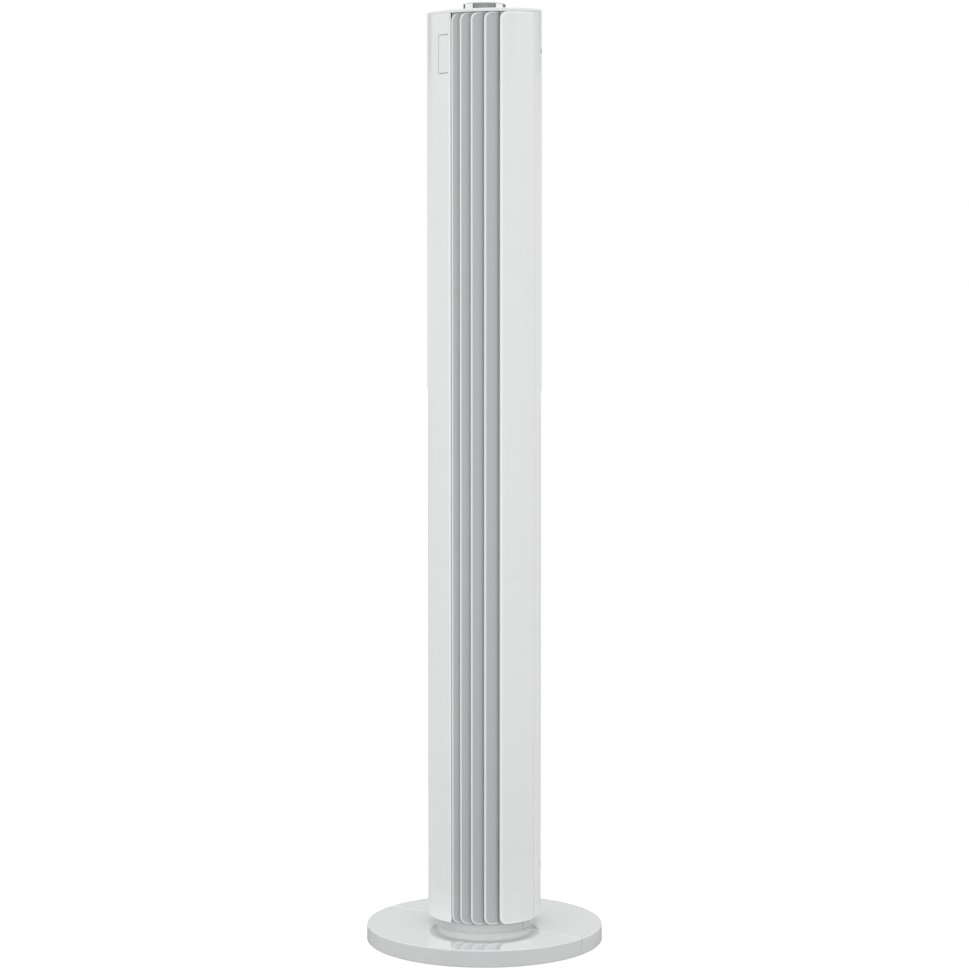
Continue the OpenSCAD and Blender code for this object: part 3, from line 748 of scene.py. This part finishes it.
@dataclass
class RoundBase:
    """The thin round base in two halves, each with its half of the neck."""

    finishes: Finishes
    radius: float = field(default_factory=lambda: -float(node_box("base_front")[0][1]))
    height: float = 19 * MM
    bottom: float = 1.2 * MM
    skin: float = 2.6 * MM
    neck_radius: float = 51.5 * MM
    neck_top: float = 28 * MM
    neck_inside: float = 43.3 * MM
    rim_round: float = 1.3 * MM
    seam: float = 0.7 * MM
    seam_round: float = 0.3 * MM
    sections: int = 120

    def outline(self) -> Array:
        """Closed outline of the shell's section: neck, top, rim, inside."""
        inside = self.radius - self.skin
        under = self.height - self.skin
        neck_in = self.neck_radius - self.skin
        return rounded_path(
            [
                (self.neck_inside, self.neck_top, 0.3 * MM),
                (self.neck_radius, self.neck_top, 0.7 * MM),
                (self.neck_radius, self.height, 0.5 * MM),
                (self.radius, self.height, self.rim_round),
                (self.radius, self.bottom, 0.8 * MM),
                (inside, self.bottom, 0.2 * MM),
                (inside, under, 0.5 * MM),
                (neck_in, under, 0.5 * MM),
                (neck_in, self.neck_top - self.skin, 0.3 * MM),
                (self.neck_inside, self.neck_top - self.skin, 0.3 * MM),
            ],
            steps=6,
        )

    def half(self, name: str, facing: float) -> bpy.types.Object:
        """One half of the shell.

        Formula: sections turn evenly to within the angle whose sine is half the seam over the radius; the
        last few are drawn in by a quarter round so that the seam has soft lips.

        Args:
            name: Name of the piece.
            facing: Direction of the half's middle.

        Returns:
            The piece.
        """
        outline = self.outline()
        ahead = np.roll(outline, -1, axis=0) - np.roll(outline, 1, axis=0)
        inward = np.stack([ahead[:, 1], -ahead[:, 0]], axis=-1)
        inward /= np.linalg.norm(inward, axis=1, keepdims=True)
        turn = np.linspace(0, np.pi / 2, 5)
        lip = self.seam_round * (1 - np.cos(turn))
        gap = self.seam / 2 + self.seam_round * (1 - np.sin(turn))
        inset = np.concatenate([lip[::-1], np.zeros(self.sections), lip])
        side_gap = np.concatenate([gap[::-1], np.full(self.sections, gap[0]), gap])
        share = np.concatenate([-np.ones(5), np.linspace(-1, 1, self.sections + 2)[1:-1], np.ones(5)])
        shape = outline[None] + inward[None] * inset[:, None, None]
        limit = 90 - np.degrees(np.arcsin(side_gap[:, None] / shape[..., 0]))
        plan = polar(shape[..., 0], facing + share[:, None] * limit)
        points = np.concatenate([plan, shape[..., 1:]], axis=-1)
        rows, columns = points.shape[:2]
        caps = [list(range(columns)), list(range((rows - 1) * columns, rows * columns))]
        return make_piece(name, points, grid_quads(rows, columns, False, True), caps)

    def build(self) -> None:
        """Builds both halves."""
        front = self.half("base_shell_front", 0.0)
        dress(front, self.finishes.base, Body.STAND, Slot.WHITE, "base_front")
        rear = self.half("base_shell_rear", 180.0)
        low, high = node_box("cord_gland")
        middle = (low + high) / 2
        hole = float(high[0]) - 0.9 * MM + 0.15 * MM
        inner = np.array([0.0, self.radius - 8 * MM, middle[2]])
        outer = np.array([0.0, self.radius + 8 * MM, middle[2]])
        cut_away(rear, round_cutter(inner, outer, hole))
        dress(rear, self.finishes.base, Body.STAND, Slot.WHITE, "base_rear")


@dataclass
class OutletSlats:
    """The four upright slats and the side panel's free edge, which they overlap."""

    finishes: Finishes
    wall: ColumnWall = field(default_factory=ColumnWall)
    first: float = 1.6
    pitch: float = 9.5
    growth: float = 2.0
    count: int = 4
    thickness: float = 2.6 * MM
    gap: float = 2.4 * MM
    overlap: float = 2.5
    corner: float = 8 * MM
    free_round: float = 1.2 * MM

    def edge(self, number: int) -> float:
        """Direction of a slat's free edge."""
        return self.first + number * self.pitch + self.growth * number * (number - 1) / 2

    def tilt(self, number: int) -> float:
        """Turn inwards that leaves the air gap under the next free edge."""
        chord = 2 * self.wall.radius * math.sin(math.radians(self.edge(number + 1) - self.edge(number)) / 2)
        return math.degrees(math.asin((self.thickness + self.gap) / chord))

    def slat(self, number: int) -> bpy.types.Object:
        """One slat, as a bent plate swung inwards about its free edge."""
        span = self.edge(number + 1) + self.overlap - self.edge(number)
        plate = Plate(
            width=self.wall.arc(span),
            height=self.wall.nominal(),
            thickness=self.thickness,
            corner=Sides(self.corner, 0.5 * MM, 0.5 * MM, self.corner),
            edge=Sides(self.free_round, 1.2 * MM, 0.4 * MM, 1.2 * MM),
        )
        points = self.wall.bend(plate.rings(), self.edge(number), self.tilt(number))
        rows, columns = points.shape[:2]
        quads = grid_quads(rows, columns, False, True)
        return make_piece(f"outlet_slat_{number + 1}", points, quads, edge=plate.edge_highlight_weights(points))

    def build(self) -> None:
        """Builds the slats."""
        for number in range(self.count):
            dress(self.slat(number), self.finishes.slat, Body.COLUMN, Slot.SLAT, f"slat_{number + 1}")


@dataclass
class ColumnShells:
    """Front panel with its window, side panel and rear shell with its louvres."""

    finishes: Finishes
    slats: OutletSlats
    wall: ColumnWall = field(default_factory=ColumnWall)
    thickness: float = 2.4 * MM
    seam_direction: float = 95.5
    seam: float = 0.6 * MM
    joint_round: float = 0.35 * MM
    foot_round: float = 1.3 * MM
    free_round: float = 1.7 * MM
    grille_start: float = 130.0
    grille_end: float = 230.0
    louvre_pitch: float = 8 * MM
    louvre_height: float = 3.4 * MM
    rib_directions: tuple[float, ...] = (180.0,)
    screw_direction: float = 115.0
    screw_heights: tuple[float, ...] = (84 * MM, 950 * MM)
    screw_recess: float = 2.8 * MM
    rib_width: float = 4.2 * MM

    def half_seam(self) -> float:
        """Angle of half the open line between shells."""
        return math.degrees(self.seam / 2 / self.wall.radius)

    def window_box(self) -> tuple[float, float, float, float]:
        """Directions and heights of the window's opening, from the frame."""
        low, high = node_box("display_window")
        flange = 2 * MM
        y = float(polar(self.wall.radius, -10.0)[1])
        rise = self.wall.nominal() / (self.wall.height_at(y) - self.wall.low)
        start, end = -16.4, -2.2
        low_t, high_t = (float(z) - self.wall.low for z in (low[2] + flange, high[2] - flange))
        return start, end, self.wall.low + low_t * rise, self.wall.low + high_t * rise

    def front(self) -> bpy.types.Object:
        """Front panel, with the window's opening near its free edge."""
        start = self.half_seam() - self.seam_direction
        window_start, window_end, window_low, window_high = self.window_box()
        plate = Plate(
            width=self.wall.arc(-start),
            height=self.wall.nominal(),
            thickness=self.thickness,
            corner=Sides(0.6 * MM, 0.8 * MM, 0.8 * MM, 0.6 * MM),
            edge=Sides(self.joint_round, self.foot_round, self.free_round, self.joint_round),
            inner_rings=26,
            along=30,
        )
        opening = Plate(
            width=self.wall.arc(window_end - window_start),
            height=window_high - window_low,
            thickness=self.thickness,
            corner=Sides(0.3 * MM, 0.3 * MM, 0.3 * MM, 0.3 * MM),
            edge=Sides(0.25 * MM, 0.25 * MM, 0.25 * MM, 0.25 * MM),
            along=30,
        )
        place = (self.wall.arc(window_start - start), window_low - self.wall.low)
        points = self.wall.bend(plate.rings(opening, place), start)
        rows, columns = points.shape[:2]
        quads = grid_quads(rows, columns, True, True)
        return make_piece("front_shell", points, quads, edge=plate.edge_highlight_weights(points))

    def window(self) -> bpy.types.Object:
        """Flush window, with a fine open line round it."""
        start, end, low, high = self.window_box()
        line = 0.5 * MM
        side_line = 0.8 * MM
        plate = Plate(
            width=self.wall.arc(end - start) - side_line - 0.05 * MM,
            height=high - low - 2 * line,
            thickness=3.2 * MM,
            corner=Sides(0.3 * MM, 0.3 * MM, 0.3 * MM, 0.3 * MM),
            edge=Sides(0.25 * MM, 0.25 * MM, 0.05 * MM, 0.25 * MM),
        )
        places = plate.rings()
        places[..., 1] += low + line - self.wall.low
        points = self.wall.bend(places, start + math.degrees(side_line / self.wall.radius))
        rows, columns = points.shape[:2]
        return make_piece("window_lens_flush", points, grid_quads(rows, columns, False, True))

    def side(self) -> bpy.types.Object:
        """Side panel, with the slats' rounded corners on its free edge."""
        start = self.slats.edge(self.slats.count)
        plate = Plate(
            width=self.wall.arc(self.seam_direction - self.half_seam() - start),
            height=self.wall.nominal(),
            thickness=self.thickness,
            corner=Sides(self.slats.corner, 0.8 * MM, 0.6 * MM, self.slats.corner),
            edge=Sides(self.free_round, self.foot_round, self.joint_round, 0.8 * MM),
            inner_rings=14,
            along=16,
        )
        points = self.wall.bend(plate.rings(), start)
        rows, columns = points.shape[:2]
        quads = grid_quads(rows, columns, False, True)
        return make_piece("side_shell", points, quads, edge=plate.edge_highlight_weights(points))

    def louvre_heights(self) -> Array:
        """Heights of the louvres' centres, between the frame's rear air slots."""
        low = 0.132
        count = 96
        return low + 8 * MM - self.louvre_height / 2 + self.louvre_pitch * np.arange(count)

    def rear(self) -> bpy.types.Object:
        """Rear shell, open where the louvres are."""
        start = self.seam_direction + self.half_seam()
        span = 360 - 2 * start
        heights = self.louvre_heights()
        low = heights[0] - self.louvre_pitch + self.louvre_height / 2
        high = heights[-1] + self.louvre_pitch - self.louvre_height / 2
        plate = Plate(
            width=self.wall.arc(span),
            height=self.wall.nominal(),
            thickness=self.thickness,
            corner=Sides(0.8 * MM, 0.8 * MM, 0.6 * MM, 0.6 * MM),
            edge=Sides(self.joint_round, self.foot_round, self.joint_round, self.joint_round),
            inner_rings=8,
            along=60,
        )
        opening = Plate(
            width=self.wall.arc(self.grille_end - self.grille_start),
            height=high - low,
            thickness=self.thickness,
            corner=Sides(3 * MM, 3 * MM, 3 * MM, 3 * MM),
            edge=Sides(0.8 * MM, 0.8 * MM, 0.8 * MM, 0.8 * MM),
            along=60,
        )
        place = (self.wall.arc(self.grille_start - start), low - self.wall.low)
        points = self.wall.bend(plate.rings(opening, place), start)
        rows, columns = points.shape[:2]
        shell = make_piece("rear_shell_frame", points, grid_quads(rows, columns, True, True))
        for direction in (self.screw_direction, -self.screw_direction):
            for height in self.screw_heights:
                outer = np.append(polar(self.wall.radius + 3 * MM, direction), height)
                inner = np.append(polar(self.wall.radius - 5 * MM, direction), height)
                cut_away(shell, round_cutter(outer, inner, self.screw_recess))
        return shell

    def louvres(self) -> bpy.types.Object:
        """Level louvres between the rear shell's sides.

        Formula: a flat stadium section, its outer lip turned low, is carried round the column's wall.
        """
        section = rounded_path(
            [
                (-1.2 * MM, -self.louvre_height / 2, 0.8 * MM),
                (1.1 * MM, -self.louvre_height / 2, 0.8 * MM),
                (1.1 * MM, self.louvre_height / 2 - 0.4 * MM, 0.8 * MM),
                (-1.2 * MM, self.louvre_height / 2, 0.8 * MM),
            ],
            steps=3,
        )
        middle = self.wall.radius - self.thickness / 2 - 0.1 * MM
        degrees = np.linspace(self.grille_start - 0.5, self.grille_end + 0.5, 46)
        ring = revolve(section + np.array([middle, 0]), degrees)
        rings = [ring + np.array([0, 0, z]) for z in self.louvre_heights()]
        points, quads = join_grids(rings, False, True)
        rows, columns = ring.shape[:2]
        caps = [
            list(range(first, first + columns))
            for bar in range(len(rings))
            for first in (bar * rows * columns, (bar + 1) * rows * columns - columns)
        ]
        return make_piece("rear_louvres", points, quads, caps)

    def ribs(self) -> bpy.types.Object:
        """Upright ribs that tie the louvres together."""
        heights = self.louvre_heights()
        low = heights[0] - self.louvre_pitch
        high = heights[-1] + self.louvre_pitch
        grids = []
        for direction in self.rib_directions:
            plate = Plate(
                width=self.rib_width,
                height=high - low,
                thickness=self.thickness - 0.5 * MM,
                corner=Sides(0.3 * MM, 0.3 * MM, 0.3 * MM, 0.3 * MM),
                edge=Sides(0.5 * MM, 0.5 * MM, 0.5 * MM, 0.5 * MM),
                inner_rings=3,
                corner_steps=3,
                up=4,
                along=4,
            )
            places = plate.rings()
            places[..., 1] += low - self.wall.low
            places[..., 2] += 0.2 * MM
            start = direction - math.degrees(self.rib_width / 2 / self.wall.radius)
            grids.append(self.wall.bend(places, start, to_top=False))
        points, quads = join_grids(grids, False, True)
        return make_piece("rear_ribs", points, quads)

    def build(self) -> None:
        """Builds the shells."""
        white = self.finishes.shell
        dress(self.front(), white, Body.COLUMN, Slot.WHITE, "front_panel")
        dress(self.window(), self.finishes.window, Body.COLUMN, Slot.WHITE, "display_window")
        dress(self.side(), white, Body.COLUMN, Slot.WHITE, "side_panel")
        dress(self.rear(), white, Body.COLUMN, Slot.WHITE, "rear_shell")
        dress(self.louvres(), white, Body.COLUMN, Slot.WHITE, "rear_shell")
        dress(self.ribs(), white, Body.COLUMN, Slot.WHITE, "rear_shell")


@dataclass
class SlopingTop:
    """The sloping cap, the dial's collar, the dial and the button in it."""

    finishes: Finishes
    wall: ColumnWall = field(default_factory=ColumnWall)
    edge_round: float = 1.4 * MM
    dial_radius: float = field(default_factory=lambda: float(node_box("speed_dial")[1][0]))
    dial_top: float = field(default_factory=lambda: float(node_box("speed_dial")[1][2]))
    play: float = 0.3 * MM
    collar_width: float = 1.7 * MM
    button_radius: float = field(default_factory=lambda: float(node_box("power_button")[1][0]))
    button_top: float = field(default_factory=lambda: float(node_box("power_button")[1][2]))
    sections: int = 180

    def full_turn(self) -> Array:
        """Directions of the sections of a whole turn."""
        return np.arange(self.sections) * 360 / self.sections

    def cap(self) -> bpy.types.Object:
        """Cap with a rounded rim, tipped to the slope about the column's middle.

        Formula: the cap's outline is carried round the axis and then turned about +X by the slope.
        """
        hole = self.dial_radius + self.play + self.collar_width + 0.1 * MM
        outline = rounded_path(
            [
                (hole, 0.0, 0.6 * MM),
                (self.wall.radius, 0.0, self.edge_round),
                (self.wall.radius, -self.wall.rim + 0.1 * MM, 0.3 * MM),
                (self.wall.radius - 6 * MM, -self.wall.rim + 0.1 * MM, 0.3 * MM),
                (self.wall.radius - 6 * MM, -2.2 * MM, 0.3 * MM),
                (hole, -2.2 * MM, 0.3 * MM),
            ],
            steps=8,
        )
        points = revolve(outline, self.full_turn())
        c, s = math.cos(math.radians(self.wall.slope)), math.sin(math.radians(self.wall.slope))
        points = points @ np.array([[1, 0, 0], [0, c, s], [0, -s, c]]) + np.array([0, 0, self.wall.top])
        return make_piece("sloping_cap", points, grid_quads(self.sections, len(outline), True, True))

    def collar(self) -> bpy.types.Object:
        """Collar that the dial turns in."""
        low, high = node_box("dial_bezel")
        inner = self.dial_radius + self.play
        outline = rounded_path(
            [
                (inner, float(high[2]), 0.5 * MM),
                (inner + self.collar_width, float(high[2]), 0.7 * MM),
                (inner + self.collar_width, float(low[2]), 0.3 * MM),
                (6.3 * MM, float(low[2]), 0.3 * MM),
                (6.3 * MM, float(low[2]) + 3 * MM, 0.3 * MM),
                (inner, float(low[2]) + 3 * MM, 0.3 * MM),
            ]
        )
        points = revolve(outline, self.full_turn())
        return make_piece("dial_collar", points, grid_quads(self.sections, len(outline), True, True))

    def dial(self) -> bpy.types.Object:
        """Turned dial with a dished top and a rounded rim."""
        top, low = self.dial_top, self.dial_top - 11 * MM
        well = self.button_radius + self.play
        sleeve = 6 * MM
        bore = 2.9 * MM
        foot = float(node_box("speed_dial")[0][2])
        outline = rounded_path(
            [
                (well, top - 0.5 * MM, 0.4 * MM),
                (self.dial_radius - 2.4 * MM, top, 0.8 * MM),
                (self.dial_radius, top, 0.9 * MM),
                (self.dial_radius, low, 0.3 * MM),
                (sleeve, low, 0.3 * MM),
                (sleeve, foot, 0.3 * MM),
                (bore, foot, 0.3 * MM),
                (bore, top - 5 * MM, 0.3 * MM),
                (well, top - 5 * MM, 0.3 * MM),
            ]
        )
        points = revolve(outline, self.full_turn())
        return make_piece("turned_dial", points, grid_quads(self.sections, len(outline), True, True))

    def button(self) -> bpy.types.Object:
        """Slightly dished push button with its stem."""
        top, radius = self.button_top, self.button_radius
        share = np.linspace(0, 1, 12)
        dish = np.stack([share * (radius - 1 * MM), top - 0.5 * MM * (1 - share**2)], axis=-1)
        turn = np.linspace(0, np.pi / 2, 6)[1:]
        rim = np.stack([radius - MM + MM * np.sin(turn), top - MM + MM * np.cos(turn)], axis=-1)
        foot = float(node_box("power_button")[0][2])
        rest = np.array([[radius, top - 2.8 * MM], [2.6 * MM, top - 2.8 * MM], [2.6 * MM, foot], [0, foot]])
        outline = np.concatenate([dish, rim, rest])
        points = revolve(outline, self.full_turn())
        return make_piece("push_button", points, grid_quads(self.sections, len(outline), True, False))

    def build(self) -> None:
        """Builds the top."""
        dress(self.cap(), self.finishes.shell, Body.COLUMN, Slot.WHITE, "top_cap")
        dress(self.collar(), self.finishes.chrome, Body.COLUMN, Slot.CHROME, "dial_bezel")
        dress(self.dial(), self.finishes.chrome, Body.DIAL, Slot.CHROME, "speed_dial")
        dress(self.button(), self.finishes.shell, Body.BUTTON, Slot.WHITE, "power_button")


@dataclass
class CarriedParts:
    """Nodes of the frame that are shown as they are, each with its finish."""

    finishes: Finishes
    own_finish: dict[str, str] = field(default_factory=lambda: {"base_cover": "under"})

    def build(self) -> None:
        """Puts a finish on every node of the frame."""
        slots = {part["node"]: part["material_slot"] for part in frame["record"]["subparts"]}
        for node, piece in frame["nodes"].items():
            name = self.own_finish.get(node)
            material = getattr(self.finishes, name) if name else self.finishes.for_slot(slots[node])
            piece.data.materials.clear()
            piece.data.materials.append(material)
            LOG.info("%s: carried, finish %s", node, material.name)


# ---------------------------------------------------------------- studio


@dataclass
class Studio:
    """Plain pale floor, soft surroundings and the camera."""

    azimuth: float = 36.0
    distance: float = 2.7221
    height: float = 0.6815
    tilt: float = 3.974
    lens: float = 94.86
    floor_size: float = 30.0
    floor_glow: float = 0.7
    floor_near: float = 0.28
    floor_far: float = 0.7
    # the floor's glow towards the scene dims near the base: a painted contact shade
    contact_shade_spot: float = 0.17
    contact_shade_reach: tuple[float, float] = (0.05, 0.5)
    even_light: float = 0.825
    top_light: float = 0.26
    card_z: tuple[float, float] = (0.09, 0.17)
    low_card: float = 0.85
    high_card: float = 0.64
    light_lobes: tuple[tuple[float, float], ...] = ((8.0, 0.345), (-100.0, 0.20), (110.0, 0.09))
    card_levels: tuple[tuple[float, float], ...] = (
        (-157.0, 1.0),
        (-150.0, 0.02),
        (-134.0, 0.05),
        (-126.0, 1.0),
        (-68.0, 1.0),
        (-63.0, 0.08),
        (-56.0, 0.28),
        (0.0, 0.36),
        (54.0, 0.28),
        (60.0, 0.08),
        (66.0, 1.0),
        (112.0, 1.0),
        (120.0, 0.25),
        (150.0, 0.2),
        (158.0, 1.0),
    )

    def aim(self, azimuth: float, reach: float = 1.0) -> tuple[float, float, float]:
        """Level direction at an angle from the camera's side, times a reach."""
        turn = math.radians(self.azimuth + azimuth)
        return (math.sin(turn) * reach, -math.cos(turn) * reach, 0.0)

    def camera(self) -> None:
        """Camera at eye level with the upper part of the column, tipped down a little."""
        data = bpy.data.cameras.new("camera")
        data.lens = self.lens
        data.sensor_width = 36.0
        data.clip_end = 100.0
        camera = bpy.data.objects.new("camera", data)
        camera.location = self.aim(0.0, self.distance)[:2] + (self.height,)
        camera.rotation_euler = (math.radians(90 - self.tilt), 0, math.radians(self.azimuth))
        bpy.context.collection.objects.link(camera)
        bpy.context.scene.camera = camera

    def floor(self) -> None:
        """Wide pale floor."""
        half = self.floor_size / 2
        mesh = bpy.data.meshes.new("floor")
        corners = [(-half, -half, 0), (half, -half, 0), (half, half, 0), (-half, half, 0)]
        mesh.from_pydata(corners, [], [(0, 1, 2, 3)])
        plane = bpy.data.objects.new("floor", mesh)
        bpy.context.collection.objects.link(plane)
        material = Finish("pale_floor", (0.9, 0.9, 0.9), 0.9, unevenness=0.0).build()
        self.floor_light(material.node_tree)
        mesh.materials.append(material)

    def floor_light(self, tree: Tree) -> None:
        """Lets the floor glow towards the camera, and less near the base towards everything else: a painted
        contact shade that dims the light reaching the base's rim.

        Args:
            tree: The floor material's nodes.
        """
        shader = tree.nodes["Principled BSDF"]
        shader.inputs["Specular IOR Level"].default_value = 0.0
        shader.inputs["Emission Color"].default_value = WHITE_LIGHT
        shader.inputs["Emission Strength"].default_value = self.floor_glow
        where = add_node(tree, "TexCoord").outputs["Object"]
        aim = self.aim(0.0, self.contact_shade_spot)
        reach = add_node(tree, "VectorMath", {0: where, 1: aim}, operation="DISTANCE").outputs["Value"]
        levels = {
            "Value": reach,
            "From Min": self.contact_shade_reach[0],
            "From Max": self.contact_shade_reach[1],
            "To Min": self.floor_near,
            "To Max": self.floor_far,
        }
        glow = add_node(tree, "Emission", {"Strength": add_node(tree, "MapRange", levels).outputs["Result"]})
        seen = add_node(tree, "LightPath").outputs["Is Camera Ray"]
        sides = {"Fac": seen, 1: glow.outputs["Emission"], 2: shader.outputs["BSDF"]}
        blend = add_node(tree, "MixShader", sides)
        tree.links.new(blend.outputs["Shader"], tree.nodes["Material Output"].inputs["Surface"])

    def surroundings(self) -> None:
        """Soft light from all round, with white and grey cards that only reflections show."""
        world = bpy.data.worlds.new("studio")
        world.use_nodes = True
        bpy.context.scene.world = world
        tree = world.node_tree
        tree.nodes.clear()
        where = add_node(tree, "TexCoord").outputs["Generated"]
        path = add_node(tree, "LightPath").outputs
        soft = add_node(tree, "Background", {"Color": WHITE_LIGHT, "Strength": self.lobes(tree, where)})
        cards = add_node(tree, "Background", {"Color": self.cards(tree, where)})
        plain = add_node(tree, "Background", {"Color": WHITE_LIGHT})
        sides = {"Fac": path["Is Glossy Ray"], 1: soft.outputs[0], 2: cards.outputs[0]}
        mirror = add_node(tree, "MixShader", sides)
        sides = {"Fac": path["Is Camera Ray"], 1: mirror.outputs[0], 2: plain.outputs[0]}
        seen = add_node(tree, "MixShader", sides)
        add_node(tree, "OutputWorld", {"Surface": seen.outputs[0]})

    def lobes(self, tree: Tree, where: Socket) -> Socket:
        """Even light plus broad lobes, each the positive part of a cosine.

        Args:
            tree: The world's nodes.
            where: Socket that gives the direction.

        Returns:
            Socket with the strength.
        """
        total: float | Socket = self.even_light
        aims = [((0.0, 0.0, 1.0), self.top_light)]
        aims += [(self.aim(azimuth), strength) for azimuth, strength in self.light_lobes]
        for aim, strength in aims:
            facing = add_node(tree, "VectorMath", {0: where, 1: aim}, operation="DOT_PRODUCT")
            lobe = add_node(tree, "MapRange", {"Value": facing.outputs["Value"], "To Max": strength})
            total = add_node(tree, "Math", {0: total, 1: lobe.outputs["Result"]}, operation="ADD").outputs[0]
        return total

    def cards(self, tree: Tree, where: Socket) -> Socket:
        """Card brightness by the angle from the camera's side, with even levels below and above.

        Args:
            tree: The world's nodes.
            where: Socket that gives the direction.

        Returns:
            Socket with the cards' colour.
        """
        turned = {"Vector": where, "Angle": -math.radians(self.azimuth)}
        turn = add_node(tree, "VectorRotate", turned, rotation_type="Z_AXIS")
        split = add_node(tree, "SeparateXYZ", {"Vector": turn.outputs["Vector"]}).outputs
        back = add_node(tree, "Math", {0: split["Y"], 1: -1.0}, operation="MULTIPLY")
        angle = add_node(tree, "Math", {0: split["X"], 1: back.outputs[0]}, operation="ARCTAN2")
        whole = {"Value": angle.outputs[0], "From Min": -math.pi, "From Max": math.pi}
        share = add_node(tree, "MapRange", whole)
        ramp = add_node(tree, "ValToRGB", {"Fac": share.outputs["Result"]})
        stops = ramp.color_ramp.elements
        stops[0].color = stops[1].color
        for degrees, level in self.card_levels:
            stops.new((degrees + 180) / 360).color = (level, level, level, 1)
        colour = ramp.outputs["Color"]
        below, above = self.card_z
        limits = ((below, self.low_card, "LESS_THAN"), (above, self.high_card, "GREATER_THAN"))
        for limit, level, side in limits:
            outside = add_node(tree, "Math", {0: split["Z"], 1: limit}, operation=side)
            even = {"Factor": outside.outputs[0], "A": colour, "B": (level, level, level, 1)}
            colour = add_node(tree, "Mix", even, data_type="RGBA").outputs["Result"]
        return colour

    def build(self) -> None:
        """Sets the stage."""
        self.camera()
        self.floor()
        self.surroundings()
        bpy.context.scene.view_settings.view_transform = "Standard"


def main() -> None:
    """Builds the fan's looks and the studio."""
    logging.basicConfig(level=logging.INFO, format="%(name)s: %(message)s")
    finishes = Finishes()
    CarriedParts(finishes).build()
    RoundBase(finishes).build()
    slats = OutletSlats(finishes)
    slats.build()
    ColumnShells(finishes, slats).build()
    SlopingTop(finishes).build()
    Studio().build()


if __name__ == "__main__":
    main()
